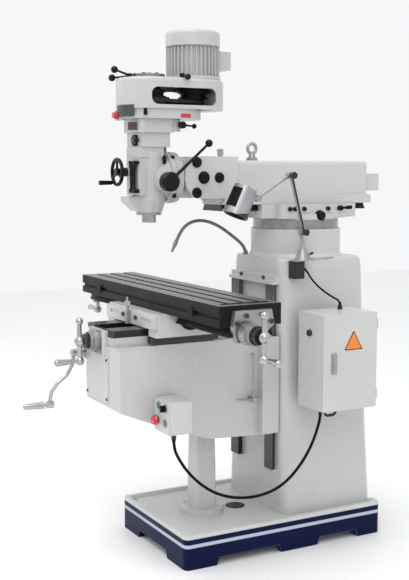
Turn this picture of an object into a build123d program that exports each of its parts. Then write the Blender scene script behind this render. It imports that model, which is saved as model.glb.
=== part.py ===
from build123d import *
import math
import os

# Vertical milling machine of the turret and knee type. Millimetres, +Z up.
# The origin is the middle of the base's underside, +X is the operator's right, +Y runs back to the column.

# Driving dimensions
tableLength = 1270.0
tableWidth = 254.0
tableTop = 1081.0
tableY = -386.0
baseWidth = 597.0
baseDepth = 945.0
baseTop = 138.0
basinFloor = 124.0
columnTop = 1190.0
turretY = 218.0
spindleY = -479.0
nodY = -284.0
nodZ = 1521.0
kneeTop = 873.0
wayTop = 940.0
runGap = 0.3
shaftGap = 0.05

ORIGIN = (0, 0, 0)
X = Vector(1, 0, 0)
Y = Vector(0, 1, 0)
Z = Vector(0, 0, 1)
LOW = (Align.CENTER, Align.CENTER, Align.MIN)


def rod(start, end, radius, tip=None):
    """A round bar between two points, tapered where tip gives the end's radius."""
    a = Vector(*start)
    run = Vector(*end) - a
    place = Plane(origin=a, z_dir=run)
    if tip is None:
        return place * Cylinder(radius, run.length, align=LOW)
    return place * Cone(radius, tip, run.length, align=LOW)


def ball(centre, radius):
    """A ball whose poles lie off the main axes, so a rod meets it on smooth surface."""
    return Pos(*centre) * Rot(31, 17, 11) * Sphere(radius)


def block(x0, x1, y0, y1, z0, z1, soft=0.0, edges=None):
    """A box given by its faces, with its upright edges (or a chosen axis) rounded."""
    shape = Pos((x0 + x1) / 2, (y0 + y1) / 2, (z0 + z1) / 2) * Box(x1 - x0, y1 - y0, z1 - z0)
    if soft and edges == "all":
        return fillet(shape.edges(), soft)
    if soft:
        return fillet(shape.edges().filter_by(edges or Axis.Z), soft)
    return shape


def sideProfile(points, x0, x1):
    """An outline in the YZ plane, drawn out along X from x0 to x1."""
    face = make_face(Polyline(*[(x0, y, z) for y, z in points], close=True))
    return extrude(face, amount=x1 - x0, dir=(1, 0, 0))


def frontProfile(points, y0, y1):
    """An outline in the XZ plane, drawn out along Y from y0 to y1."""
    face = make_face(Polyline(*[(x, y0, z) for x, z in points], close=True))
    return extrude(face, amount=y1 - y0, dir=(0, 1, 0))


def topProfile(points, z0, z1):
    """An outline in the XY plane, drawn up from z0 to z1."""
    face = make_face(Polyline(*[(x, y, z0) for x, y in points], close=True))
    return extrude(face, amount=z1 - z0, dir=(0, 0, 1))


def slotPlan(halfWidth, yFront, yBack, z0, z1):
    """A plan with two round ends, one about each of two centres on the Y axis."""
    middle = (yFront + yBack) / 2
    plan = Pos(0, middle, z0) * Rot(0, 0, 90) * SlotCenterToCenter(yBack - yFront, 2 * halfWidth)
    return extrude(plan, amount=z1 - z0)


def capScrew(at, radius, height, axis=Z):
    """A socket-head screw with its hexagonal socket, its head standing on the face at the given point."""
    start = Vector(*at)
    place = Plane(origin=start, z_dir=axis)
    head = place * Cylinder(radius, height, align=LOW)
    socket = place * Pos(0, 0, height * 0.45) * extrude(RegularPolygon(radius * 0.5, 6), amount=height)
    return head - socket


def hexBolt(at, radius, height, axis=Z):
    start = Vector(*at)
    place = Plane(origin=start, z_dir=axis)
    washer = place * Cylinder(radius * 1.25, height * 0.2, align=LOW)
    head = place * Pos(0, 0, height * 0.2) * extrude(RegularPolygon(radius, 6), amount=height * 0.8)
    return washer + head


def save(shapes, name):
    """Writes one node. Separate solids stay separate in one compound."""
    solids = []
    for shape in (shapes if isinstance(shapes, list) else [shapes]):
        solids.extend(shape.solids())
    whole = solids[0] if len(solids) == 1 else Compound(children=solids)
    export_step(whole, "parts/" + name + ".step")


# ---------------------------------------------------------------- base and column

wallThick = 30.0
footHigh = 33.0


def makeBase():
    halfW = baseWidth / 2
    halfD = baseDepth / 2
    body = block(-halfW, halfW, -halfD, halfD, 0, baseTop, 24)
    body = fillet(body.edges().group_by(Axis.Z)[-1], 6)
    basin = block(-halfW + 26, halfW - 26, -halfD + 26, halfD - 26, basinFloor, baseTop + 1, 30)
    rimSlope = loft([
        Pos(0, 0, basinFloor + 2) * RectangleRounded(baseWidth - 52, baseDepth - 52, 30),
        Pos(0, 0, baseTop + 1) * RectangleRounded(baseWidth - 36, baseDepth - 36, 32)])
    body -= basin
    body -= rimSlope
    under = block(-halfW + wallThick, halfW - wallThick, -halfD + wallThick, halfD - wallThick, -1, 96, 20)
    body -= under
    for y0, y1 in ((-332, -30), (146, 352)):
        gap = [(y0, -1), (y0 + 12, footHigh), (y1 - 12, footHigh), (y1, -1)]
        body -= sideProfile(gap, -halfW - 5, halfW + 5)
    body -= frontProfile([(-137, -1), (-125, footHigh), (125, footHigh), (137, -1)], -halfD - 5, halfD + 5)
    for cx in (-1, 1):
        for cy in (-1, 1):
            corner = Pos(cx * (halfW - 43), cy * (halfD - 43), 0)
            body += corner * Cylinder(26, basinFloor, align=LOW)
            body -= corner * Cylinder(9, 3 * baseTop)
    body -= block(-241, 241, 420, halfD + 2, basinFloor, baseTop + 2)
    body -= Pos(17, -88, 90) * Cylinder(38, 80)
    body -= Pos(17, -88, basinFloor - 4) * Cylinder(42, 30, align=LOW)
    body -= Pos(0, postY, 60) * Cylinder(24, 200)
    return body


def makeStrainer():
    disc = Pos(17, -88, basinFloor - 3.7) * Cylinder(41.5, 5, align=LOW)
    for ring, count in ((0, 1), (12, 6), (23, 12), (33, 18)):
        for step in range(count):
            turn = 2 * math.pi * step / count
            hole = Pos(17 + ring * math.cos(turn), -88 + ring * math.sin(turn), basinFloor) * Cylinder(3, 20)
            disc -= hole
    return disc


wayFront = 0.0
columnFront = 22.0
wayBottom = 305.0
wayTopEnd = 1085.0


def columnLevel(z, half, back, corner):
    return Pos(0, (columnFront + back) / 2, z) * RectangleRounded(2 * half, back - columnFront, corner)


def makeColumn():
    levels = ((basinFloor, 240, 472, 44), (400, 226, 461, 44), (800, 207, 450, 42), (1150, 198, 440, 40))
    body = loft([columnLevel(*level) for level in levels], ruled=True)
    body += loft([columnLevel(1150, 198, 440, 40), columnLevel(1180, 194, 436, 40)], ruled=True)
    body += loft([columnLevel(1180, 194, 436, 40), columnLevel(columnTop, 184, 428, 40)], ruled=True)
    body += Pos(0, turretY, columnTop) * Cone(200, 192, 16, align=LOW)
    body += Pos(0, turretY, columnTop - 20) * Cylinder(192, 137, align=LOW)
    inner = loft([
        Pos(0, 0, 5) * columnLevel(basinFloor, 214, 448, 30).moved(Location((0, 13, 0))),
        columnLevel(1140, 172, 412, 26).moved(Location((0, 13, 0)))], ruled=True)
    body -= inner
    body -= Pos(0, turretY, 1100) * Cylinder(150, 300, align=LOW)
    for side in (-1, 1):
        rail = [(side * 109, columnFront + 20), (side * 109, wayFront), (side * 172, wayFront),
                (side * 158, columnFront), (side * 158, columnFront + 20)]
        body += topProfile(rail, wayBottom, wayTopEnd)
    body += block(-178, 178, wayFront - 8, columnFront + 20, wayTopEnd, wayTopEnd + 14)
    body += block(-178, 178, wayFront + 4, columnFront + 20, wayTopEnd + 14, wayTopEnd + 34)
    body -= Pos(0, 100, 1240) * Rot(90, 0, 0) * Cylinder(9, 60)
    for side in (-1, 1):
        body += capScrew((side * 90, wayFront + 3.95, wayTopEnd + 24), 8, 7, -Y)
    return body


# ---------------------------------------------------------------- knee screw post

postY = -241.0
postTop = 500.0


def makePost():
    flange = Pos(0, postY, basinFloor) * Cylinder(93, 26, align=LOW)
    low = Pos(0, postY, basinFloor + 20) * RectangleRounded(96, 96, 11)
    high = Pos(0, postY, postTop) * RectangleRounded(84, 84, 10)
    body = flange + loft([low, high])
    body -= Pos(0, postY, 60) * Cylinder(24, 600, align=LOW)
    nut = Pos(0, postY, postTop - 60) * Cylinder(24, 60, align=LOW)
    nut -= Pos(0, postY, 300) * Cylinder(screwRadius + shaftGap, 400, align=LOW)
    for step in range(4):
        turn = math.radians(45 + 90 * step)
        body += capScrew((76 * math.cos(turn), postY + 76 * math.sin(turn), basinFloor + 25.9), 8, 4)
    return body + nut


# ---------------------------------------------------------------- knee

screwRadius = 17.0
kneeFront = -705.0
kneeBack = wayFront - runGap
kneeSide = 150.0
shellThick = 18.0
crossZ = 888.0
elevX = -100.0
elevZ = 826.0


def kneeOutline(inset=0.0):
    """The side view of the knee: flat top, upright front and a belly that deepens towards the column."""
    return [(kneeFront + inset, 640), (kneeFront + inset, kneeTop - inset), (kneeBack, kneeTop - inset),
            (kneeBack, 456), (-289, 471), (-529, 557), (kneeFront + 30, 618)]


def makeKnee():
    body = sideProfile(kneeOutline(), -kneeSide, kneeSide)
    body -= frontEdge(-1)
    body -= frontEdge(1)
    inside = sideProfile([(kneeFront + 60, 400), (kneeFront + 60, kneeTop - 20), (-30, kneeTop - 20),
                          (-30, 400)], -kneeSide + shellThick, kneeSide - shellThick)
    body -= inside
    body += block(-kneeSide - 42, kneeSide + 42, -60, kneeBack, 470, kneeTop)
    for side in (-1, 1):
        ear = [(side * 192, kneeBack - 1), (side * 192, columnFront - 4), (side * 161.5, columnFront - 4),
               (side * 172.6, wayFront + 0.3), (side * 172.6, kneeBack - 1)]
        body += topProfile(ear, 470, kneeTop)
    body -= block(-96, 96, -45, 40, 440, kneeTop - 40)
    for side in (-1, 1):
        way = [(side * 60, kneeTop - 10), (side * 60, wayTop), (side * 134, wayTop), (side * 118, wayTop - 30),
               (side * 118, kneeTop - 10)]
        body += frontProfile(way, kneeFront + 12, -70)
    body += Pos(0, postY, kneeTop - 34) * Cylinder(38, 34, align=LOW)
    body -= Pos(0, postY, kneeTop - 120) * Cylinder(screwRadius + shaftGap, 100, align=LOW)
    body += block(-108, 108, kneeFront - 5, kneeFront + 5, 652, 838)
    body += block(-76, 76, crossFace, kneeFront + 30, crossZ - 50, crossZ + 44, 8)
    body += rod((elevX, kneeFront - 14, elevZ), (elevX, kneeFront + 30, elevZ), 28)
    body += rod((elevX, kneeFront + 30, elevZ), (elevX, kneeFront + 74, elevZ), 26)
    body -= rod((elevX, kneeFront - 30, elevZ), (elevX, kneeFront + 120, elevZ), 12 + shaftGap)
    body -= rod((0, kneeFront - 60, crossZ), (0, kneeFront + 70, crossZ), 13 + shaftGap)
    return body


def frontEdge(side):
    """The slanting cut that takes the corner between the front and a side."""
    return topProfile([(side * 112, kneeFront - 10), (side * 160, kneeFront - 10), (side * 160, kneeFront + 34),
                       (side * (kneeSide), kneeFront + 30)], 400, kneeTop + 1)


lockY = -96.0
lockZ = 618.0


def makeKneeLockLever():
    x = kneeSide + 30
    shape = rod((kneeSide + 0.3, lockY, lockZ), (x + 12, lockY, lockZ), 12)
    shape += rod((x, lockY, lockZ), (x, lockY, lockZ + 42), 9, 5)
    shape += rod((x, lockY, lockZ + 37), (x, lockY - 6, lockZ + 188), 3.5)
    shape += ball((x, lockY - 6, lockZ + 188), 8)
    shape += rod((x, lockY, lockZ), (x, lockY - 78, lockZ + 9), 5, 4)
    return shape


controlFront = -530.0
controlRight = 288.0


def makeControlBox():
    x0 = kneeSide + 0.2
    box = block(x0, controlRight, controlFront, -436, 542, 672, 8, Axis.Y)
    lid = block(x0 + 4, controlRight - 4, controlFront - 4, controlFront + 6, 546, 668, 8, Axis.Y)
    body = box + lid
    body += rod((228, -486, 530), (228, -486, 545), 14)
    body += rod((228, -486, 516), (228, -486, 532), 10)
    for x, z in controlPlaces.values():
        body -= rod((x, controlFront - 20, z), (x, controlFront + 2, z), 11.5)
        body -= rod((x, controlFront - 20, z), (x, controlFront + 24, z), 9)
        bezel = rod((x, controlFront - 8, z), (x, controlFront - 2, z), 16)
        body += bezel - rod((x, controlFront - 20, z), (x, controlFront + 24, z), 11.5)
    return body


controlPlaces = {"start": (200, 647), "mode": (256, 645), "stop": (190, 588), "jog": (252, 586)}


def makePushButton(name, cap, proud):
    x, z = controlPlaces[name]
    stem = rod((x, controlFront - 4, z), (x, controlFront + 18, z), 8.5)
    return stem + rod((x, controlFront - 8 - proud, z), (x, controlFront - 3, z), cap)


def makeStopButton():
    x, z = controlPlaces["stop"]
    stem = rod((x, controlFront - 16, z), (x, controlFront + 20, z), 8.5)
    head = rod((x, controlFront - 24, z), (x, controlFront - 16, z), 17, 20)
    crown = fillet(rod((x, controlFront - 30, z), (x, controlFront - 23.5, z), 17).edges().group_by(Axis.Y)[0], 5)
    return stem + head + crown


def makeModeSelector():
    x, z = controlPlaces["mode"]
    stem = rod((x, controlFront - 12, z), (x, controlFront + 20, z), 8.5)
    knob = rod((x, controlFront - 16, z), (x, controlFront - 8.5, z), 13)
    grip = block(x - 4, x + 4, controlFront - 28, controlFront - 12, z - 13, z + 13, 2, Axis.Y)
    return stem + knob + grip


wheelGear = 74.6
pinionGear = 25.0


def makeKneeScrew():
    body = Pos(0, postY, 300) * Cylinder(screwRadius, kneeTop - 300 - 23, align=LOW)
    for step in range(16):
        body -= Pos(0, postY, 310 + 8 * step) * (Cylinder(20, 3) - Cylinder(15, 3))
    return body + Pos(0, postY, elevZ) * Cylinder(wheelGear, 20)


def makeElevatingCrank():
    y0 = kneeFront - 48
    shaft = rod((elevX, y0, elevZ), (elevX, kneeFront + 20, elevZ), 12)
    collar = rod((elevX, kneeFront - 28, elevZ), (elevX, kneeFront - 14.3, elevZ), 22)
    socket = rod((elevX, y0 - 24, elevZ), (elevX, kneeFront - 28, elevZ), 15)
    bend = [(elevX, y0 - 13, elevZ), (elevX, y0 - 20, elevZ - 46), (elevX, y0 - 44, elevZ - 86),
            (elevX, y0 - 84, elevZ - 116), (elevX, y0 - 110, elevZ - 148), (elevX, y0 - 118, elevZ - 186)]
    path = FilletPolyline(*bend, radius=22)
    arm = sweep(Plane(origin=path @ 0, z_dir=path % 0) * Circle(7.5), path=path)
    reach = y0 - 118
    hub = rod((elevX, reach - 14, elevZ - 200), (elevX, reach + 14, elevZ - 200), 15)
    grip = rod((elevX, reach - 26, elevZ - 200), (elevX, reach - 14, elevZ - 200), 8)
    grip += rod((elevX, reach - 102, elevZ - 200), (elevX, reach - 26, elevZ - 200), 11, 15)
    grip += ball((elevX, reach - 100, elevZ - 200), 11)
    return shaft + collar + socket + arm + hub + grip


def makeElevatingShaft():
    """The shaft behind the crank's clutch, with the pinion that turns the wheel on the knee screw."""
    shape = rod((elevX, kneeFront + 24, elevZ), (elevX, postY + 40, elevZ), 12)
    shape += rod((elevX, postY - 20, elevZ), (elevX, postY + 20, elevZ), pinionGear)
    return shape


def ballCrank(centre, outward, throw, reach):
    """A three-ball crank: a hub ball on the shaft, a counterweight ball, and a ball that carries the grip."""
    c = Vector(*centre)
    out = Vector(*outward)
    up = Z
    shape = ball(c, 21)
    shape += ball(c + up * throw, 15)
    shape += ball(c - up * throw, 18)
    shape += rod(c, c + up * throw, 11, 8)
    shape += rod(c, c - up * throw, 11, 9)
    grip = c - up * throw
    shape += rod(grip, grip + out * 30, 7)
    shape += rod(grip + out * 26, grip + out * reach, 9, 14)
    shape += ball(grip + out * (reach - 3), 13)
    return shape


def dialSet(start, outward, length):
    """A graduated dial with its lock ring, standing along the shaft."""
    a = Vector(*start)
    out = Vector(*outward)
    shape = rod(a, a + out * length * 0.42, 43)
    shape += rod(a + out * length * 0.42, a + out * length * 0.7, 35)
    shape += rod(a + out * length * 0.7, a + out * length, 29)
    return shape


crossFace = kneeFront - 8.0


def makeCrossCrank():
    shape = dialSet((0, crossFace - runGap, crossZ), (0, -1, 0), 48)
    shape += rod((0, crossFace - 70, crossZ), (0, -110, crossZ), 13)
    hub = crossFace - 68
    shape += ballCrank((0, hub, crossZ), (0, -1, 0), 78, 96)
    return shape


# ---------------------------------------------------------------- saddle and table

saddleLow = wayTop + runGap
tableLow = 1004.0
tailLow = 968.0
screwY = -414.0
screwZ = 984.0


def makeSaddle():
    body = block(-232, 232, -556, -238, saddleLow, tableLow - runGap, 10)
    for side in (-1, 1):
        clamp = [(side * 158, saddleLow + 1), (side * 158, kneeTop + 6), (side * 122, kneeTop + 6),
                 (side * 118.6, wayTop - 30.2), (side * 134.5, wayTop + 0.2), (side * 134.5, saddleLow + 1)]
        body += frontProfile(clamp, -545, -250)
    tail = [(tableY - 74.5, tableLow + 1), (tableY - 92.5, tailLow - runGap), (tableY + 92.5, tailLow - runGap),
            (tableY + 74.5, tableLow + 1)]
    body -= sideProfile(tail, -240, 240)
    body += block(-26, 26, -470, -300, crossZ - 14.6, saddleLow + 1)
    body -= rod((0, -480, crossZ), (0, -290, crossZ), 13 + shaftGap)
    body += block(-32, 32, screwY - 15, screwY + 15, tailLow - 4, screwZ + 14)
    body -= rod((-40, screwY, screwZ), (40, screwY, screwZ), 11 + shaftGap)
    body += block(-232, 232, -566, -554, saddleLow + 4, tableLow - 6, 4, Axis.Y)
    body += block(-232, -162, -560, -250, saddleLow - 26, saddleLow + 2)
    body += block(162, 232, -560, -250, saddleLow - 26, saddleLow + 2)
    for x in (-150, 150):
        body -= block(x - 45, x + 45, -570, -561, 968, 982, 6.5, Axis.Y)
    for x in (-60, 60):
        body += capScrew((x, -566, 975), 9, 8, -Y)
    body += block(-9, 9, -584, -565, 944, 996, 3)
    body += rod((0, -576, 990), (0, -576, tableLow + 46), 5)
    body += block(-12, 12, -585, -567, tableLow + 12, tableLow + 30, 2)
    return body


def makeTable():
    half = tableLength / 2
    y0 = tableY - tableWidth / 2
    y1 = tableY + tableWidth / 2
    body = block(-half, half, y0, y1, tableLow, tableTop)
    body = chamfer(body.edges().group_by(Axis.Z)[-1], 1.5)
    tail = [(tableY - 74.2, tableLow + 5), (tableY - 74.2, tableLow), (tableY - 92, tailLow),
            (tableY + 92, tailLow), (tableY + 74.2, tableLow), (tableY + 74.2, tableLow + 5)]
    body += sideProfile(tail, -half, half)
    body -= block(-half - 1, half + 1, screwY - 18, screwY + 18, tailLow - 1, screwZ + 18)
    for offset in slotOffsets:
        y = tableY + offset
        body -= block(-half - 1, half - 38, y - 8, y + 8, tableTop - 30, tableTop + 1)
        body -= block(-half - 1, half - 38, y - 14, y + 14, tableTop - 30, tableTop - 17)
    body -= block(half - 58, half - 30, y0 + 26, y1 - 26, tableTop - 12, tableTop + 1, 8)
    body -= block(-half - 1, half + 1, y0 - 1, y0 + 9, tableTop - 50, tableTop - 36)
    for side in (-1, 1):
        body += block(side * 430 - 16, side * 430 + 16, y0 - 7, y0 + 5, tableTop - 58, tableTop - 28, 3, Axis.Y)
    return body


slotOffsets = (-63.5, 0.0, 63.5)


def makeBrackets():
    half = tableLength / 2
    shapes = []
    for side in (-1, 1):
        face = side * (half + 0.05)
        outer = side * (half + 24)
        high = 1063 if side > 0 else 1050
        plate = extrude(make_face(Polyline(
            (face, tableY - 84, 1008), (face, tableY - 74, high), (face, tableY + 74, high), (face, tableY + 84, 1010),
            (face, screwY + 44, 950), (face, screwY - 40, 950), close=True)), amount=abs(outer - face),
            dir=(side, 0, 0))
        plate += rod((face, screwY, screwZ), (side * (half + 34), screwY, screwZ), 34)
        plate -= rod((face - side, screwY, screwZ), (side * (half + 40), screwY, screwZ), 11 + shaftGap)
        shapes.append(plate)
        for dy, z in ((-32, high - 17), (32, high - 17), (-70, 1020), (70, 1020)):
            shapes.append(capScrew((side * (half + 24), tableY + dy, z), 9, 8, X * side))
    return shapes


def makeTableScrew():
    half = tableLength / 2
    shape = rod((-half - 62, screwY, screwZ), (half + 136, screwY, screwZ), 11)
    shape += dialSet((half + 34 + runGap, screwY, screwZ), (1, 0, 0), 84)
    shape += ballCrank((half + 140, screwY, screwZ), (1, 0, 0), 76, 92)
    shape += ballCrank((-half - 64, screwY, screwZ), (-1, 0, 0), 76, 92)
    return shape


# ---------------------------------------------------------------- turret and ram

ringTop = 1347.0
saddleTop = 1385.0
ramLow = 1411.0
ramTop = 1590.0
ramBack = 545.0
noseRadius = 84.0


pinionY = turretY + 12.0
pinionZ = 1365.0
pinionRadius = 19.0
ramLockY = turretY + 118.0


def makeTurret():
    body = Pos(0, turretY, columnTop + 117.3) * Cylinder(182, 39.7, align=LOW)
    body += Pos(0, turretY, ringTop) * Cylinder(178, 22, align=LOW)
    body += block(-150, 150, turretY - 168, turretY + 168, ringTop + 4, ramLow - runGap, 26)
    body += block(-112, 112, turretY - 236, turretY + 236, ringTop + 6, ramLow - runGap, 6)
    body -= frontProfile([(-66.5, ramLow + 1), (-82.5, saddleTop - runGap), (82.5, saddleTop - runGap),
                          (66.5, ramLow + 1)], turretY - 240, turretY + 240)
    body += rod((140, pinionY, pinionZ), (160, pinionY, pinionZ), 27)
    body -= rod((-30, pinionY, pinionZ), (170, pinionY, pinionZ), 12 + shaftGap)
    body -= rod((160, pinionY, pinionZ), (190, pinionY, pinionZ), 24)
    body -= block(-26, 26, pinionY - 24, pinionY + 24, pinionZ - 24, ramLow)
    body += rod((140, ramLockY, 1392), (154, ramLockY, 1392), 13)
    body -= rod((126, ramLockY, 1392), (170, ramLockY, 1392), 7 + shaftGap)
    body -= Pos(0, turretY, columnTop + 100) * Cylinder(60, 60, align=LOW)
    return body


def makeTurretBolts():
    shapes = []
    for y in (-128, -104, -58, 62):
        for side in (-1, 1):
            shapes.append(capScrew((side * 150.05, turretY + y, 1391), 9, 9, X * side))
    return shapes


def makeRamPinion():
    shape = rod((-24, pinionY, pinionZ), (164, pinionY, pinionZ), 12)
    shape += rod((-20, pinionY, pinionZ), (20, pinionY, pinionZ), pinionRadius)
    shape += rod((160.3, pinionY, pinionZ), (170, pinionY, pinionZ), 20)
    hexHead = Plane(origin=(169, pinionY, pinionZ), z_dir=(1, 0, 0)) * extrude(RegularPolygon(17, 6), amount=16)
    return shape + hexHead


def makeRamLock():
    y = ramLockY
    shape = rod((128, y, 1392), (166, y, 1392), 7)
    shape += rod((154.3, y, 1392), (168, y, 1392), 11)
    shape += rod((162, y, 1392), (168, y + 34, 1394), 5.5, 4.5)
    shape += rod((168, y + 30, 1394), (168, y + 52, 1395), 8)
    return shape


def makeRam():
    body = block(-92, 92, nodY + 76, ramBack - 22, ramLow + 30, ramTop)
    body = fillet(body.edges().filter_by(Axis.Y).group_by(Axis.Z)[-1], 16)
    body += block(-100, 100, nodY + 98, ramBack, ramLow, ramLow + 36, 6)
    head = block(-100, 100, nodY, nodY + 156, nodZ - noseRadius, nodZ + noseRadius)
    head += rod((-100, nodY, nodZ), (100, nodY, nodZ), noseRadius)
    body += head
    body += rod((-84, nodY + 112, nodZ - 72), (84, nodY + 112, nodZ - 72), 34)
    body -= block(-61, 61, nodY - 100, nodY + 92, nodZ - 130, nodZ + 100)
    dovetail = [(-66, ramLow + 1), (-82, saddleTop), (82, saddleTop), (66, ramLow + 1)]
    body += frontProfile(dovetail, nodY + 92, ramBack - 20)
    body += block(-60.7, 60.7, nodY + 92, nodY + 112, saddleTop, nodZ + 60)
    body += block(-44, 44, ramBack - 24, ramBack + 84, 1462, 1536, 4)
    body -= Pos(0, wormY, wormLow - 2) * Cylinder(10 + shaftGap, 200, align=LOW)
    body -= block(-13, 13, nodY + 70, wormY + 6, nodZ - 72, nodZ + 66)
    body -= rod((-120, nodY, nodZ), (120, nodY, nodZ), 16)
    return body


wormY = -154.0
wormLow = 1478.0


def makeNodWorm():
    shape = Pos(0, wormY, wormLow) * Cylinder(10, ramTop + 26 - wormLow, align=LOW)
    shape += block(-10, 10, wormY - 10, wormY + 10, ramTop + 22, ramTop + 47, 1)
    return shape


def makeLiftingEye():
    shape = Pos(0, -3, ramTop + 0.05) * Cylinder(24, 12, align=LOW)
    shape += Pos(0, -3, ramTop + 10) * Cone(17, 12, 20, align=LOW)
    ring = Pos(0, -3, ramTop + 50) * Rot(0, 90, 0) * Torus(20, 7)
    return shape + ring


def makeNodBolts():
    shapes = []
    for side in (-1, 1):
        out = X * side
        shapes.append(hexBolt((side * 100.05, nodY, nodZ), 20, 16, out))
        for y, z in ((nodY - 32, nodZ + 60), (nodY - 32, nodZ - 60), (nodY + 70, nodZ)):
            shapes.append(hexBolt((side * 100.05, y, z), 17, 14, out))
    shapes.append(rod((-99.9, nodY, nodZ), (99.9, nodY, nodZ), 15.9))
    return shapes


flangeY = nodY - 88.0


def makeAdapter():
    body = rod((-60.4, nodY, nodZ), (60.4, nodY, nodZ), 80)
    body += block(-60.4, 60.4, flangeY - 1, nodY, nodZ - 78, nodZ + 78)
    gear = rod((-12, nodY, nodZ), (12, nodY, nodZ), wormY - nodY - 10.4)
    body += gear & sideProfile([(nodY, nodZ), (nodY + 140, nodZ - 30), (nodY + 140, nodZ + 56)], -12, 12)
    body -= rod((-70, nodY, nodZ), (70, nodY, nodZ), 16)
    body += rod((0, flangeY, nodZ), (0, flangeY - 26, nodZ), 102)
    body += rod((0, flangeY - 20, nodZ), (0, flangeY - 44, nodZ), 30)
    return body


# ---------------------------------------------------------------- head

headBack = flangeY - 26.0 - runGap
bore = 44.0


def makeHeadCasting():
    body = rod((0, headBack, nodZ), (0, headBack - 22, nodZ), 100)
    body += rod((0, headBack - 20, nodZ), (0, spindleY, nodZ), 90, 70)
    body += Pos(0, spindleY, 1432) * Cylinder(68, 188, align=LOW)
    body += Pos(0, spindleY, 1384) * Cone(52, 68, 48, align=LOW)
    body += block(-60, 60, spindleY - 72, spindleY, 1452, 1640, 12)
    tongue = sideProfile([(spindleY - 30, 1390), (spindleY - 60, 1390), (spindleY - 104, 1428),
                          (spindleY - 104, 1446), (spindleY - 30, 1452)], -40, 40)
    body += tongue
    body += block(-64, 64, spindleY - 70, spindleY + 52, 1600, 1640, 10)
    body += rod((0, hubY, hubZ), (118, hubY, hubZ), 38)
    body += rod((wheelX, spindleY, wheelZ), (wheelX, wheelFace, wheelZ), 18)
    body -= Pos(0, spindleY, 1300) * Cylinder(bore + shaftGap, 500, align=LOW)
    body -= rod((0, headBack + 1, nodZ), (0, headBack - 19, nodZ), 30.05)
    body -= rod((70, hubY, hubZ), (130, hubY, hubZ), 16 + shaftGap)
    body -= rod((wheelX, wheelFace + 30, wheelZ), (wheelX, wheelFace - 1, wheelZ), 8 + shaftGap)
    body -= rod((lockX, lockHubY, 1560), (lockX, lockHubY, 1700), 9 + shaftGap)
    return body


hubY = -452.0
hubZ = 1506.0
wheelX = -42.0
wheelZ = 1543.0
wheelFace = -580.0
lockX = 56.0
lockHubY = -438.0


def makeBackGearCase():
    body = block(-72, 72, spindleY - 64, spindleY + 64, 1640.1, 1698, 12)
    body += block(-86, 86, spindleY - 74, spindleY + 74, 1696, 1748.7, 20)
    body += Pos(34, spindleY + 78, 1702) * Cylinder(42, 46, align=LOW)
    body -= Pos(0, spindleY, 1600) * Cylinder(34, 200, align=LOW)
    return body


beltLow = 1749.0
beltTop = 1907.0
motorY = -281.0
pulleyLow = 1808.0
housingHalf = 122.0


def makeBeltHousing():
    outer = slotPlan(housingHalf, spindleY - 5, motorY, beltLow + 38, beltTop)
    outer = fillet(outer.edges().group_by(Axis.Z)[-1], 14)
    low = slotPlan(housingHalf - 9, spindleY - 5, motorY - 92, beltLow, beltLow + 40)
    body = outer + low
    inner = slotPlan(housingHalf - 8, spindleY - 5, motorY, beltLow + 46, beltTop - 10)
    innerLow = slotPlan(housingHalf - 17, spindleY - 5, motorY - 94, beltLow + 10, beltLow + 50)
    body -= inner + innerLow
    for side in (-1, 1):
        window = block(min(side * 60, side * 140), max(side * 60, side * 140), -518, -236, 1802, 1868, 26, Axis.X)
        body -= window
    body += Pos(0, spindleY, beltTop - 4) * Cylinder(66, 20, align=LOW)
    body -= Pos(0, spindleY, beltLow - 5) * Cylinder(36, 200, align=LOW)
    body -= Pos(0, motorY, beltTop - 20) * Cylinder(24, 60, align=LOW)
    body += block(-50, 10, spindleY - 122, spindleY - 100, beltLow - 6, beltLow + 34, 4)
    return body


def makeMotor():
    z0 = beltTop + 0.1
    frame = Pos(0, motorY, z0) * Cylinder(112, 12, align=LOW)
    frame += Pos(0, motorY, z0 + 12) * Cylinder(93, 118, align=LOW)
    for step in range(36):
        turn = 10 * step
        fin = Pos(0, motorY, z0 + 14) * Rot(0, 0, turn) * Pos(98, 0, 0) * Box(
            18, 3.5, 112, align=(Align.CENTER, Align.CENTER, Align.MIN))
        frame += fin
    frame += block(-46, 46, motorY + 85, motorY + 152, 1951, 2023, 6)
    frame += Pos(0, motorY, z0 - 60) * Cylinder(14, 62, align=LOW)
    cowlLow = z0 + 130
    cowl = Pos(0, motorY, cowlLow) * Cylinder(109, 2099 - cowlLow, align=LOW)
    cowl = fillet(cowl.edges().group_by(Axis.Z)[-1], 16)
    for ring in range(4):
        slotRing = Cylinder(36 + 20 * ring, 8) - Cylinder(27 + 20 * ring, 8)
        spokes = Box(400, 10, 20) + Box(10, 400, 20)
        cowl -= Pos(0, motorY, 2099) * (slotRing - spokes)
    return [frame, cowl]


def pulley(y, z0, radii, boreRadius, step=26.0):
    shape = None
    for index, radius in enumerate(radii):
        tier = Pos(0, y, z0 + index * step) * Cylinder(radius, step, align=LOW)
        groove = Pos(0, y, z0 + index * step + step / 2) * (Cylinder(radius + 2, 15) - Cylinder(radius - 9, 15))
        tier -= groove
        shape = tier if shape is None else shape + tier
    return shape - Pos(0, y, z0 - 10) * Cylinder(boreRadius, 400, align=LOW)


def makeSpindlePulley():
    wheel = pulley(spindleY, pulleyLow, (84, 70, 56), 15)
    hub = Pos(0, spindleY, 1762) * Cylinder(30, pulleyLow - 1761, align=LOW)
    hub -= Pos(0, spindleY, 1700) * Cylinder(15, 300, align=LOW)
    return wheel + hub


def makeMotorPulley():
    return pulley(motorY, pulleyLow, (46, 60, 74), 14 + shaftGap)


def makeDriveBelt():
    return Pos(0, 0, pulleyLow + 13) * loftBelt(75, 37, 13)


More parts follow.
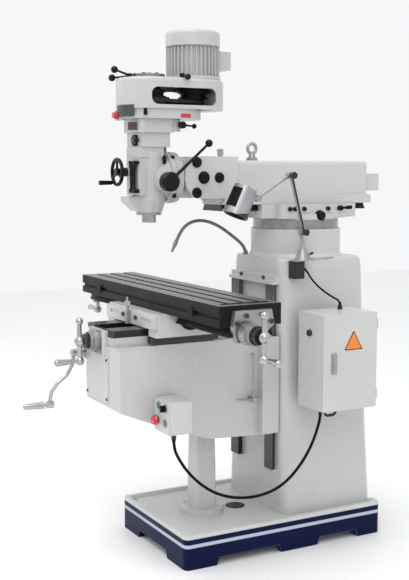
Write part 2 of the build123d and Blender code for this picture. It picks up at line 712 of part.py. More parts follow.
def loftBelt(big, small, wide):
    """A flat ring round both pulleys, its straight runs tangent to the two circles."""
    gap = motorY - spindleY
    outline = make_hull([Pos(0, spindleY) * Circle(big + 8).edge(), Pos(0, motorY) * Circle(small + 8).edge()])
    hollow = make_hull([Pos(0, spindleY) * Circle(big + 0.5).edge(), Pos(0, motorY) * Circle(small + 0.5).edge()])
    return extrude(outline - hollow, amount=wide / 2, both=True)


def ballLever(base, tip, thick, knob, hubAxis, hubRadius, hubLow, hubHigh):
    """A lever with a hub on a given axis, a tapered arm and a round knob."""
    b = Vector(*base)
    hub = rod(b + hubAxis * hubLow, b + hubAxis * hubHigh, hubRadius)
    arm = rod(b, tip, thick, thick * 0.75)
    return hub + arm + ball(tip, knob)


def makeBrakeLever():
    return ballLever((0, -557, 1916), (-22, -612, 1938), 5, 14, Z, 9, -8.7, 8)


def makeHighLowLever():
    return ballLever((-38, -546, 1916), (-66, -604, 1910), 5, 14, Z, 9, -8.7, 8)


def makeBackGearLever():
    return ballLever((88, -372, 1726), (90, -322, 1722), 4.5, 10, X, 14, -11.7, 5)


def makeBeltRelease():
    return ballLever((97, -378, 1918), (137, -374, 1908), 5, 12, Z, 10, -10.7, 6)


def makeDrumKnob():
    shape = rod((-22, spindleY - 122.3, 1763), (-22, spindleY - 130, 1763), 17)
    return shape + rod((-22, spindleY - 129, 1763), (-22, spindleY - 142, 1763), 13, 11)


def makeFeedSelector():
    x, y, z = 18, spindleY - 64, 1666
    shape = rod((x, y - runGap, z), (x, y - 9, z), 22)
    shape += rod((x, y - 8, z), (x + 48, y - 20, z), 5)
    return shape + ball((x + 50, y - 20, z), 11)


def makeHandwheel():
    rimPlane = wheelFace - 16.0
    rim = Cylinder(56.5, 13) - Cylinder(43.5, 13)
    rim = Pos(wheelX, rimPlane, wheelZ) * Rot(90, 0, 0) * fillet(rim.edges().filter_by(GeomType.CIRCLE), 5)
    hub = rod((wheelX, wheelFace - 24, wheelZ), (wheelX, wheelFace - runGap, wheelZ), 15)
    shaft = rod((wheelX, wheelFace - 10, wheelZ), (wheelX, wheelFace + 28, wheelZ), 8)
    shape = hub + shaft
    for step in range(3):
        turn = math.radians(90 + 120 * step)
        tip = (wheelX + 47 * math.cos(turn), rimPlane, wheelZ + 47 * math.sin(turn))
        shape += rod((wheelX, rimPlane - 0.5, wheelZ), tip, 5)
    low = wheelZ - 42
    side = wheelX - 30
    shape += rod((side, rimPlane, low), (side, rimPlane - 14, low), 6)
    shape += rod((side, rimPlane - 12, low), (side, rimPlane - 64, low), 8, 9.5)
    return rim + shape


def makeQuillStop():
    x = 36
    y = spindleY - 86
    shapes = rod((x, y, 1462), (x, y, 1586), 7)
    shapes += rod((x, y, 1466), (x, y, 1480), 14) + rod((x, y, 1558), (x, y, 1572), 14)
    for z0, z1 in ((1462, 1476), (1572, 1586)):
        shapes += block(x - 20, x + 34, y - 9, spindleY - 72.05, z0, z1, 3)
    for dx in (-15, 15):
        shapes += block(x + dx - 4, x + dx + 4, y - 4, y + 4, 1462, 1586)
    return shapes


def makeQuillFeed():
    shape = rod((76, hubY, hubZ), (120, hubY, hubZ), 16)
    shape += rod((118.3, hubY, hubZ), (146, hubY, hubZ), 38)
    shape += rod((146, hubY, hubZ), (152, hubY, hubZ), 38, 30)
    start = Vector(134, hubY, hubZ)
    tip = Vector(150, -288, 1655)
    shape += rod(start, tip, 7, 5)
    return shape + ball(tip, 15)


def makeQuillLock():
    shape = rod((lockX, lockHubY, 1562), (lockX, lockHubY, 1600), 9)
    shape += rod((lockX, lockHubY, 1594), (lockX + 27, lockHubY - 12, 1599), 4.5)
    return shape + ball((lockX + 31, lockHubY - 14, 1600), 8)


quillLow = 1374.0


def makeQuill():
    tube = Pos(0, spindleY, quillLow) * Cylinder(bore, 250, align=LOW)
    tube -= Pos(0, spindleY, quillLow - 5) * Cylinder(24, 400, align=LOW)
    tube += Pos(0, spindleY, quillLow) * (Cylinder(bore + 6, 8, align=LOW) - Cylinder(24, 30))
    return tube


def makeSpindle():
    shape = Pos(0, spindleY, 1344) * Cylinder(28, 29, align=LOW)
    shape += Pos(0, spindleY, 1372) * Cylinder(23.9, 250, align=LOW)
    shape += Pos(0, spindleY, 1620) * Cylinder(14.9, 290, align=LOW)
    shape -= Pos(0, spindleY, 1344) * Cylinder(12.1, 110, align=LOW)
    shape -= Pos(0, spindleY, 1343.9) * Cone(16, 12.1, 24, align=LOW)
    return shape


# ---------------------------------------------------------------- electrics, lamp and coolant

boxX0 = 256.0
boxX1 = 420.0
boxY0 = 68.0
boxY1 = 328.0
latchY = boxY0 + 50.0
loopY = (148.0, 201.0)
boxZ0 = 597.0
boxZ1 = 985.0


def makeCabinet():
    body = block(boxX0, boxX1, boxY0, boxY1, boxZ0, boxZ1, 5)
    body -= block(boxX0 + 3, boxX1 + 1, boxY0 + 3, boxY1 - 3, boxZ0 + 3, boxZ1 - 3)
    rim = block(boxX1 - 14, boxX1, boxY0 + 2, boxY1 - 2, boxZ0 + 2, boxZ1 - 2)
    rim -= block(boxX1 - 20, boxX1 + 1, boxY0 + 14, boxY1 - 14, boxZ0 + 14, boxZ1 - 14)
    body += rim
    for z in (boxZ0 + 50, boxZ1 - 70):
        body += block(190, boxX0 + 1, boxY0 + 60, boxY1 - 60, z, z + 24)
    body -= makeColumn()
    body += rod((boxX0 + 87, boxY0 - 10, 905), (boxX0 + 87, boxY0 + 2, 905), 13)
    body += rod((boxX0 + 80, 126, boxZ0 - 16), (boxX0 + 80, 126, boxZ0 + 1), 12)
    for y in loopY:
        body += rod((boxX0 + 80, y, boxZ0 - 12), (boxX0 + 80, y, boxZ0 + 1), 9)
    loop = [(boxX0 + 80, loopY[0], boxZ0 - 6), (boxX0 + 80, loopY[0], boxZ0 - 42),
            (boxX0 + 80, loopY[1], boxZ0 - 42), (boxX0 + 80, loopY[1], boxZ0 - 6)]
    body += tubeAlong(loop, 5.5, "loop under the cabinet")
    body += rod((308, 236, boxZ1 - 1), (308, 236, boxZ1 + 14), 10)
    return max(body.solids(), key=lambda s: s.volume)


def makeCabinetDoor():
    x0 = boxX1 + 0.5
    door = block(x0, x0 + 16, boxY0, boxY1, boxZ0, boxZ1, 5, Axis.X)
    door -= block(x0 - 1, x0 + 13, boxY0 + 2.5, boxY1 - 2.5, boxZ0 + 2.5, boxZ1 - 2.5)
    for z in (boxZ0 + 50, boxZ1 - 50):
        door += rod((x0 + 8, boxY1 + 6, z - 20), (x0 + 8, boxY1 + 6, z + 20), 5)
        door += block(x0 + 4, x0 + 12, boxY1 - 1, boxY1 + 6, z - 20, z + 20)
    door -= rod((x0 - 2, latchY, 790), (x0 + 20, latchY, 790), 9)
    return door


def makeLatch():
    x0 = boxX1 + 16.5
    y = latchY
    shape = rod((x0 - 12, y, 790), (x0 + 1, y, 790), 8.95)
    shape += block(x0 + runGap, x0 + 5, y - 12, y + 12, 748, 832, 3, Axis.X)
    shape += block(x0 + 4, x0 + 9, y - 7, y + 7, 760, 822, 2)
    shape += block(x0 - 12, x0 - 8, y - 20, y + 4, 784, 796)
    return shape


def makeControlGear():
    x0 = boxX0 + 3.05
    panel = block(x0, x0 + 3, boxY0 + 16, boxY1 - 16, boxZ0 + 24, boxZ1 - 24)
    for row, z in enumerate((boxZ0 + 60, boxZ0 + 150, boxZ0 + 240)):
        for col in range(4 - row % 2):
            y = boxY0 + 32 + col * 46
            panel += block(x0 + 2, x0 + 72, y, y + 38, z, z + 66, 2)
    return panel


def makeLampBase():
    box = block(198.5, 250, 54, 102, 1112, 1184, 5)
    column = makeColumn()
    body = box + block(190, 200, 60, 96, 1120, 1176)
    body += loft([Pos(228, 103, 1184) * RectangleRounded(56, 94, 10), Pos(231, 103, 1190) * RectangleRounded(52, 88, 10)])
    body += Pos(231, 102, 1188) * Cone(34, 17, 44, align=LOW)
    body += rod((233, 100, 1226), (233, 100, 1262), 11, 9)
    body += rod((226, 101, 1148), (226, 106, 1148), 8)
    body += rod((243, 118, 1206), (250, 126, 1212), 3.5) + rod((249, 125, 1211), (259, 135, 1218), 5)
    return body - column


elbowLow = (240, 93, 1301)
elbowHigh = (240, 32, 1530)
headJoint = (240, -118, 1440)


def knuckle(at, outer):
    """Half of a lamp joint: a disc about the X axis, with a ball knob on the outer one."""
    x, y, z = at
    if outer:
        disc = rod((x + 0.3, y, z), (x + 14, y, z), 14)
        return disc + rod((x + 13, y, z), (x + 20, y, z), 6) + rod((x + 19, y, z), (x + 33, y, z), 12, 14)
    return rod((x - 14, y, z), (x - 0.3, y, z), 14)


def makeLampStem():
    x, y, z = elbowLow
    shape = rod((233, 100, 1262.4), (233, 100, 1270), 9) + rod((233, 100, 1268), (x - 9, y, z - 8), 7.5, 6.5)
    return shape + knuckle(elbowLow, False)


def makeLampArmLow():
    x, y, z = elbowLow
    bar = rod((x + 8.5, y, z), (x + 8.5, elbowHigh[1], elbowHigh[2]), 7.5)
    return bar + knuckle(elbowLow, True) + knuckle(elbowHigh, True)


def makeLampArmHigh():
    x, y, z = elbowHigh
    bar = rod((x - 8, y, z), (x - 8, headJoint[1], headJoint[2]), 7)
    return bar + knuckle(elbowHigh, False) + knuckle(headJoint, False)


lampAim = Vector(0, -0.42, -0.907)
lampTop = Vector(248, -178, 1482)


def makeLampHead():
    end = lampTop + lampAim * 112
    shell = rod(lampTop, end, 46, 50)
    hollow = rod(lampTop + lampAim * 5, end + lampAim * 1, 42.5, 46.5)
    shape = shell - hollow
    bezel = rod(end - lampAim * 4, end + lampAim * 6, 52) - rod(end - lampAim * 10, end + lampAim * 10, 45)
    shape += bezel
    x, y, z = headJoint
    shape += rod((x + 0.3, y, z), (x + 13, y, z), 12) + rod((x + 8, y, z), (x + 8, y - 34, z - 2), 6.5)
    shape -= hollow
    lampHolder = rod(lampTop + lampAim * 4, lampTop + lampAim * 34, 14)
    return shape + lampHolder


def makeBulb():
    a = lampTop + lampAim * 34.05
    shape = rod(a, a + lampAim * 20, 10, 20) + ball(a + lampAim * 38, 25)
    return shape


hoseRoute = [(-128, 44, 1190.3), (-128, 44, 1218), (-116, -22, 1266), (-101, -98, 1313), (-80, -168, 1338),
             (-66, -228, 1344), (-54, -280, 1330), (-42, -318, 1299), (-32, -341, 1262)]


def tubeAlong(points, radius, label):
    """A tube of straight runs and tangent arcs, each arc as large as its two runs allow."""
    turns = []
    for before, corner, after in zip(points, points[1:], points[2:]):
        a = Vector(*corner) - Vector(*before)
        b = Vector(*after) - Vector(*corner)
        half = math.radians(a.get_angle(b)) / 2
        turns.append(0.45 * min(a.length, b.length) / math.tan(half))
    path = FilletPolyline(*points, radius=turns)
    tube = sweep(Plane(origin=path @ 0, z_dir=path % 0) * Circle(radius), path=path)
    print(label, "radii", [round(t) for t in turns], "length", round(path.length),
          "volume ratio", round(tube.volume / (math.pi * radius ** 2 * path.length), 4))
    return tube


def makeHose():
    shape = tubeAlong(hoseRoute, 7.0, "coolant hose")
    tip = Vector(*hoseRoute[-1])
    shape += rod(tip, tip + Vector(4, -14, -22), 8.5)
    shape += rod(tip + Vector(4, -14, -22), tip + Vector(9, -28, -47), 7, 4)
    shape += Pos(-128, 44, 1190.3) * Cylinder(12, 14, align=LOW)
    return shape


controlRoute = [(228, -486, 515.9), (228, -486, 476), (233, -466, 430), (242, -430, 374), (253, -380, 322),
                (265, -322, 282), (279, -256, 258), (292, -184, 250), (304, -112, 258), (314, -46, 284),
                (322, 8, 328), (328, 54, 384), (332, 90, 444), (334.5, 113, 504), (336, 126, 550),
                (336, 126, boxZ0 - 16.1)]
lampRoute = [(226, 106.1, 1148), (226, 123, 1148), (238, 142, 1106), (262, 174, 1066), (290, 212, 1034),
             (308, 236, 1020), (308, 236, boxZ1 + 14.1)]


os.makedirs("parts", exist_ok=True)

save(makeBase(), "base")
save(makeStrainer(), "drain_strainer")
save(makeColumn(), "column")
save(makePost(), "knee_screw_post")
save(makeKnee(), "knee")
save(makeKneeLockLever(), "knee_lock_lever")
save(makeControlBox(), "control_box")
save(makePushButton("start", 11, 3), "start_button")
save(makePushButton("jog", 11, 3), "jog_button")
save(makeStopButton(), "stop_button")
save(makeModeSelector(), "mode_selector")
save(makeKneeScrew(), "knee_screw")
save(makeElevatingCrank(), "elevating_crank")
save(makeElevatingShaft(), "elevating_shaft")
save(makeCrossCrank(), "cross_feed_crank")
save(makeSaddle(), "saddle")
save(makeTable(), "table")
save(makeBrackets(), "table_brackets")
save(makeTableScrew(), "table_screw")
save(makeTurret(), "turret_saddle")
save(makeTurretBolts(), "turret_bolts")
save(makeRamPinion(), "ram_pinion")
save(makeRamLock(), "ram_lock_lever")
save(makeRam(), "ram")
save(makeNodWorm(), "nod_worm")
save(makeLiftingEye(), "lifting_eye")
save(makeNodBolts(), "nod_bolts")
save(makeAdapter(), "ram_adapter")
save(makeHeadCasting(), "head_casting")
save(makeBackGearCase(), "back_gear_case")
save(makeBeltHousing(), "belt_housing")
save(makeMotor(), "motor")
save(makeSpindlePulley(), "spindle_pulley")
save(makeMotorPulley(), "motor_pulley")
save(makeDriveBelt(), "drive_belt")
save(makeBrakeLever(), "brake_lever")
save(makeHighLowLever(), "high_low_lever")
save(makeBackGearLever(), "back_gear_lever")
save(makeBeltRelease(), "belt_release_lever")
save(makeDrumKnob(), "drum_switch_knob")
save(makeFeedSelector(), "feed_selector_knob")
save(makeHandwheel(), "fine_feed_handwheel")
save(makeQuillStop(), "quill_stop")
save(makeQuillFeed(), "quill_feed_lever")
save(makeQuillLock(), "quill_lock_lever")
save(makeQuill(), "quill")
save(makeSpindle(), "spindle")
save(makeCabinet(), "electric_cabinet")
save(makeCabinetDoor(), "cabinet_door")
save(makeLatch(), "cabinet_latch")
save(makeControlGear(), "control_gear")
save(makeLampBase(), "lamp_base")
save(makeLampStem(), "lamp_stem")
save(makeLampArmLow(), "lamp_lower_arm")
save(makeLampArmHigh(), "lamp_upper_arm")
save(makeLampHead(), "lamp_head")
save(makeBulb(), "lamp_bulb")
save(makeHose(), "coolant_hose")
save(tubeAlong(controlRoute, 6.0, "control cable"), "control_cable")
save(tubeAlong(lampRoute, 4.0, "lamp cable"), "lamp_cable")
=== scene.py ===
import bmesh
import bpy
import math
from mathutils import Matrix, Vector


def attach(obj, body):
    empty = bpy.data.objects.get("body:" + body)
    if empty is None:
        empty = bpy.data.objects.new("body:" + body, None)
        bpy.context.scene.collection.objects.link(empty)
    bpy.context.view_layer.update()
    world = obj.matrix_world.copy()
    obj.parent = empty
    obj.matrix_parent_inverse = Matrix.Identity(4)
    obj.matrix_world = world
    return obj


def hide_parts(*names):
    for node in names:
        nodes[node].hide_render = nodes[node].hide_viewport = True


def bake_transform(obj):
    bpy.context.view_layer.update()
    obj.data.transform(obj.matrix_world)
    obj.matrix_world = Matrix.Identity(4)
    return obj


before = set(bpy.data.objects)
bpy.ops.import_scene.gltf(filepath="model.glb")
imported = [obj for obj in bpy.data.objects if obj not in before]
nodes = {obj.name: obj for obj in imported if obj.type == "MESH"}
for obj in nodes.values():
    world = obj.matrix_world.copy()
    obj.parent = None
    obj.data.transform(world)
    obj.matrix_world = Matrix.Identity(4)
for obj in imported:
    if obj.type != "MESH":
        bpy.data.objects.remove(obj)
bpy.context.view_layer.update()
mm = 0.001
print("frame loaded:", len(nodes), "nodes")

# camera and lights

cameraSet = {"place": (3.7156, -2.2358, 1.5471), "aim": (-0.8739, 0.4724, -0.1149), "lens": 63.86}
cameraData = bpy.data.cameras.new("camera")
cameraData.lens = cameraSet["lens"]
cameraData.sensor_width = 36.0
cameraData.clip_end = 60.0
camera = bpy.data.objects.new("camera", cameraData)
camera.location = cameraSet["place"]
camera.rotation_euler = Vector(cameraSet["aim"]).to_track_quat("-Z", "Y").to_euler()
bpy.context.scene.collection.objects.link(camera)
bpy.context.scene.camera = camera
bpy.context.scene.view_settings.view_transform = "Standard"

lightSet = {
    "key": {"place": (4.2, -2.6, 4.6), "size": 3.0, "watts": 62},
    "top": {"place": (0.6, -1.4, 5.4), "size": 3.6, "watts": 100},
    "rim": {"place": (-3.6, -3.2, 3.6), "size": 3.0, "watts": 26},
}
lightTarget = (0.0, -0.1, 1.0)  # the middle of the machine
for lightName, part in lightSet.items():
    data = bpy.data.lights.new(lightName, "AREA")
    data.size = part["size"]
    data.energy = part["watts"]
    lamp = bpy.data.objects.new(lightName, data)
    lamp.location = part["place"]
    aim = Vector(lightTarget) - Vector(part["place"])
    lamp.rotation_euler = aim.to_track_quat("-Z", "Y").to_euler()
    bpy.context.scene.collection.objects.link(lamp)
worldSet = {"colour": (0.985, 0.99, 1.0, 1), "strength": 0.94}
world = bpy.data.worlds.new("studio")
world.use_nodes = True
world.node_tree.nodes["Background"].inputs["Color"].default_value = worldSet["colour"]
world.node_tree.nodes["Background"].inputs["Strength"].default_value = worldSet["strength"]
bpy.context.scene.world = world

# finishes: base is the main colour, shade is what it drifts to in patches, edge is its worn edge,
# grain is the bump's cell size and height its depth, both in mm

looks = {
    "whiteEnamel": {"base": (0.53, 0.535, 0.527), "shade": (0.495, 0.5, 0.495), "rough": 0.3,
        "spread": 0.06, "coat": 0.12, "patch": 2.2, "grain": 3.2, "height": 0.06,
        "edge": (0.62, 0.62, 0.61), "wear": 0.6},
    # plinthWhiteLit: the machine's white enamel made lighter on the whole base, painted light standing in
    # for the light on its top
    "plinthWhiteLit": {"base": (0.6, 0.605, 0.597), "shade": (0.56, 0.565, 0.56), "rough": 0.36,
        "spread": 0.06, "spec": 0.12, "coat": 0.0, "patch": 2.2, "grain": 3.2, "height": 0.06,
        "edge": (0.66, 0.66, 0.65), "wear": 0.6},
    "sheetWhite": {"base": (0.56, 0.56, 0.55), "shade": (0.53, 0.53, 0.522), "rough": 0.34,
        "spread": 0.05, "coat": 0.08, "patch": 2.0, "grain": 1.1, "height": 0.03,
        "edge": (0.6, 0.6, 0.59), "wear": 0.5},
    "silverEnamel": {"base": (0.475, 0.482, 0.485), "shade": (0.425, 0.434, 0.44), "rough": 0.3,
        "spread": 0.07, "coat": 0.15, "patch": 4.0, "grain": 2.4, "height": 0.07,
        "edge": (0.62, 0.63, 0.63), "wear": 0.7},
    "navyEnamel": {"base": (0.0008, 0.005, 0.046), "shade": (0.0006, 0.0035, 0.036), "rough": 0.36,
        "spread": 0.06, "spec": 0.08, "coat": 0.04, "patch": 3.0, "grain": 3.0, "height": 0.06,
        "edge": (0.02, 0.045, 0.16), "wear": 0.6},
    "darkIron": {"base": (0.01, 0.0102, 0.0115), "shade": (0.006, 0.0062, 0.0075), "rough": 0.44,
        "spread": 0.1, "spec": 0.16, "coat": 0.0, "patch": 9.0, "grain": 1.6, "height": 0.06,
        "edge": (0.11, 0.11, 0.115), "wear": 0.7},
    "groundTop": {"base": (0.185, 0.16, 0.17), "shade": (0.14, 0.122, 0.132), "rough": 0.36,
        "spread": 0.1, "metal": 0.85, "coat": 0.0, "patch": 14.0, "streak": (0.5, 26.0, 1.0),
        "grain": 0.9, "height": 0.02, "edge": (0.6, 0.58, 0.58), "wear": 0.5},
    "groundWay": {"base": (0.19, 0.195, 0.195), "shade": (0.12, 0.124, 0.124), "rough": 0.34,
        "spread": 0.1, "metal": 0.9, "coat": 0.0, "patch": 11.0, "streak": (6.0, 6.0, 0.5), "grain": 1.0,
        "height": 0.03, "edge": (0.6, 0.6, 0.6), "wear": 0.5},
    # oiledSteelAndShade: near-black oiled steel for bolts and ways, also used in some zones below as
    # painted shade
    "oiledSteelAndShade": {"base": (0.005, 0.0052, 0.0058), "shade": (0.003, 0.0031, 0.0035), "rough": 0.36,
        "spread": 0.1, "spec": 0.16, "coat": 0.0, "patch": 22.0, "grain": 0.8, "height": 0.03,
        "edge": (0.22, 0.22, 0.22), "wear": 0.7},
    "turnedSteel": {"base": (0.42, 0.424, 0.43), "shade": (0.3, 0.304, 0.31), "rough": 0.26,
        "spread": 0.12, "metal": 1.0, "coat": 0.0, "patch": 30.0, "grain": 0.5, "height": 0.015,
        "edge": (0.8, 0.8, 0.8), "wear": 0.4},
    "chromed": {"base": (0.5, 0.505, 0.515), "shade": (0.4, 0.405, 0.415), "rough": 0.14, "spread": 0.07,
        "metal": 1.0, "coat": 0.0, "patch": 18.0, "grain": 2.0, "height": 0.012, "edge": (0.9, 0.9, 0.9),
        "wear": 0.3},
    "castSilver": {"base": (0.4, 0.405, 0.415), "shade": (0.31, 0.315, 0.325), "rough": 0.36,
        "spread": 0.12, "metal": 0.8, "coat": 0.0, "patch": 16.0, "grain": 1.3, "height": 0.07,
        "edge": (0.8, 0.8, 0.8), "wear": 0.6},
    "blackKnob": {"base": (0.002, 0.002, 0.0023), "shade": (0.0035, 0.0035, 0.004), "rough": 0.2,
        "spread": 0.06, "spec": 0.2, "coat": 0.03, "patch": 30.0, "grain": 0.9, "height": 0.01,
        "edge": (0.05, 0.05, 0.05), "wear": 0.4},
    # satinBlackAndShade: satin black paint for real black parts, also used below as painted shade inside
    # the belt housing
    "satinBlackAndShade": {"base": (0.003, 0.003, 0.0035), "shade": (0.005, 0.005, 0.006), "rough": 0.42,
        "spread": 0.12, "spec": 0.12, "coat": 0.0, "patch": 26.0, "grain": 0.8, "height": 0.04,
        "edge": (0.08, 0.08, 0.08), "wear": 0.6},
    "cableBlack": {"base": (0.002, 0.002, 0.0023), "shade": (0.004, 0.004, 0.0045), "rough": 0.4,
        "spread": 0.1, "spec": 0.12, "coat": 0.0, "patch": 40.0, "grain": 1.6, "height": 0.05,
        "edge": (0.05, 0.05, 0.05), "wear": 0.3},
    "beltRubber": {"base": (0.018, 0.018, 0.018), "shade": (0.04, 0.04, 0.038), "rough": 0.72,
        "spread": 0.12, "coat": 0.0, "patch": 30.0, "grain": 0.7, "height": 0.1,
        "edge": (0.07, 0.07, 0.07), "wear": 0.7},
    "redButton": {"base": (0.62, 0.02, 0.018), "shade": (0.5, 0.014, 0.012), "rough": 0.2,
        "spread": 0.08, "coat": 0.5, "patch": 30.0, "grain": 0.8, "height": 0.012,
        "edge": (0.75, 0.1, 0.09), "wear": 0.4},
    "greenButton": {"base": (0.02, 0.27, 0.1), "shade": (0.013, 0.2, 0.075), "rough": 0.22,
        "spread": 0.08, "coat": 0.5, "patch": 30.0, "grain": 0.8, "height": 0.012,
        "edge": (0.1, 0.4, 0.2), "wear": 0.4},
    "amberPlate": {"base": (0.86, 0.24, 0.02), "shade": (0.8, 0.2, 0.015), "rough": 0.36, "spread": 0.08,
        "coat": 0.2, "patch": 24.0, "grain": 0.8, "height": 0.02, "edge": (0.9, 0.35, 0.1), "wear": 0.4},
    "redPlate": {"base": (0.52, 0.03, 0.03), "shade": (0.44, 0.02, 0.02), "rough": 0.35, "spread": 0.08,
        "coat": 0.2, "patch": 24.0, "grain": 0.8, "height": 0.02, "edge": (0.65, 0.12, 0.1), "wear": 0.4},
    "darkPlate": {"base": (0.02, 0.024, 0.03), "shade": (0.035, 0.04, 0.048), "rough": 0.3,
        "spread": 0.1, "coat": 0.3, "patch": 20.0, "grain": 0.9, "height": 0.02, "edge": (0.3, 0.3, 0.3),
        "wear": 0.7},
    "plumPlate": {"base": (0.05, 0.015, 0.02), "shade": (0.08, 0.02, 0.03), "rough": 0.3, "spread": 0.1,
        "coat": 0.3, "patch": 20.0, "grain": 0.9, "height": 0.02, "edge": (0.25, 0.12, 0.12), "wear": 0.6},
    "hoseSteel": {"base": (0.26, 0.265, 0.27), "shade": (0.17, 0.174, 0.18), "rough": 0.33,
        "spread": 0.1, "metal": 0.9, "coat": 0.0, "patch": 40.0, "grain": 0.6, "height": 0.03,
        "edge": (0.7, 0.7, 0.7), "wear": 0.8},
    "bulbGlass": {"base": (0.88, 0.88, 0.84), "shade": (0.8, 0.8, 0.76), "rough": 0.35, "spread": 0.08,
        "coat": 0.2, "patch": 30.0, "grain": 0.8, "height": 0.01, "edge": (0.92, 0.92, 0.9), "wear": 0.3},
    "phenolicBeige": {"base": (0.62, 0.56, 0.42), "shade": (0.52, 0.46, 0.34), "rough": 0.5,
        "spread": 0.1, "coat": 0.0, "patch": 18.0, "grain": 0.8, "height": 0.03,
        "edge": (0.72, 0.66, 0.52), "wear": 0.4},
    "stripeEnamel": {"base": (0.47, 0.54, 0.62), "shade": (0.43, 0.5, 0.58), "rough": 0.32,
        "spread": 0.06, "coat": 0.1, "patch": 4.0, "grain": 3.0, "height": 0.05,
        "edge": (0.6, 0.66, 0.72), "wear": 0.5},
    "ringSteel": {"base": (0.3, 0.305, 0.325), "shade": (0.22, 0.225, 0.24), "rough": 0.3, "spread": 0.1,
        "metal": 0.9, "coat": 0.0, "patch": 20.0, "grain": 0.9, "height": 0.02, "edge": (0.5, 0.5, 0.52),
        "wear": 0.5},
    "fieldGrey": {"base": (0.055, 0.058, 0.064), "shade": (0.04, 0.043, 0.048), "rough": 0.4,
        "spread": 0.08, "coat": 0.0, "patch": 30.0, "grain": 0.8, "height": 0.02,
        "edge": (0.12, 0.12, 0.12), "wear": 0.4},
    "floorPaint": {"base": (0.93, 0.93, 0.93), "shade": (0.905, 0.905, 0.905), "rough": 0.6,
        "spread": 0.05, "coat": 0.0, "patch": 0.6, "grain": 6.0, "height": 0.05,
        "edge": (0.93, 0.93, 0.93), "wear": 0.0},
}


# colour and roughness of one finish, with its patches and streaks worked out from the place
def socketsOf(tree, where, look):
    new = tree.nodes.new
    link = tree.links.new
    stretch = new("ShaderNodeMapping")
    stretch.inputs["Scale"].default_value = look.get("streak", (1.0, 1.0, 1.0))
    link(where, stretch.inputs["Vector"])
    patch = new("ShaderNodeTexNoise")
    patch.inputs["Scale"].default_value = look["patch"]
    patch.inputs["Detail"].default_value = 6.0
    patch.inputs["Roughness"].default_value = 0.62
    link(stretch.outputs["Vector"], patch.inputs["Vector"])
    ramp = new("ShaderNodeValToRGB")
    ramp.color_ramp.elements[0].position = 0.36
    ramp.color_ramp.elements[0].color = (*look["shade"], 1)
    ramp.color_ramp.elements[1].position = 0.64
    ramp.color_ramp.elements[1].color = (*look["base"], 1)
    link(patch.outputs["Fac"], ramp.inputs["Fac"])
    span = new("ShaderNodeMapRange")
    span.inputs["From Min"].default_value = 0.3
    span.inputs["From Max"].default_value = 0.7
    span.inputs["To Min"].default_value = look["rough"] - look["spread"]
    span.inputs["To Max"].default_value = look["rough"] + look["spread"]
    link(patch.outputs["Fac"], span.inputs["Value"])
    return ramp.outputs["Color"], span.outputs["Result"]


# 1 inside a box given in mm, 0 outside
def insideBox(tree, where, low, high):
    new = tree.nodes.new
    link = tree.links.new
    shift = new("ShaderNodeVectorMath")
    shift.operation = "SUBTRACT"
    shift.inputs[1].default_value = [(a + b) / 2 * mm for a, b in zip(low, high)]
    link(where, shift.inputs[0])
    scale = new("ShaderNodeVectorMath")
    scale.operation = "DIVIDE"
    scale.inputs[1].default_value = [max((b - a) / 2, 0.001) * mm for a, b in zip(low, high)]
    link(shift.outputs["Vector"], scale.inputs[0])
    size = new("ShaderNodeVectorMath")
    size.operation = "ABSOLUTE"
    link(scale.outputs["Vector"], size.inputs[0])
    split = new("ShaderNodeSeparateXYZ")
    link(size.outputs["Vector"], split.inputs["Vector"])
    widest = new("ShaderNodeMath")
    widest.operation = "MAXIMUM"
    link(split.outputs["X"], widest.inputs[0])
    link(split.outputs["Y"], widest.inputs[1])
    widest2 = new("ShaderNodeMath")
    widest2.operation = "MAXIMUM"
    link(widest.outputs["Value"], widest2.inputs[0])
    link(split.outputs["Z"], widest2.inputs[1])
    test = new("ShaderNodeMath")
    test.operation = "LESS_THAN"
    test.inputs[1].default_value = 1.0
    link(widest2.outputs["Value"], test.inputs[0])
    return test.outputs["Value"]


# a mix node between two sockets or plain values
def mixed(tree, kind, factor, first, second):
    mix = tree.nodes.new("ShaderNodeMix")
    mix.data_type = kind
    place = {"RGBA": (6, 7, 2), "FLOAT": (2, 3, 0)}[kind]
    tree.links.new(factor, mix.inputs[0])
    for index, value in zip(place[:2], (first, second)):
        if isinstance(value, bpy.types.NodeSocket):
            tree.links.new(value, mix.inputs[index])
        else:
            mix.inputs[index].default_value = value
    return mix.outputs[place[2]]


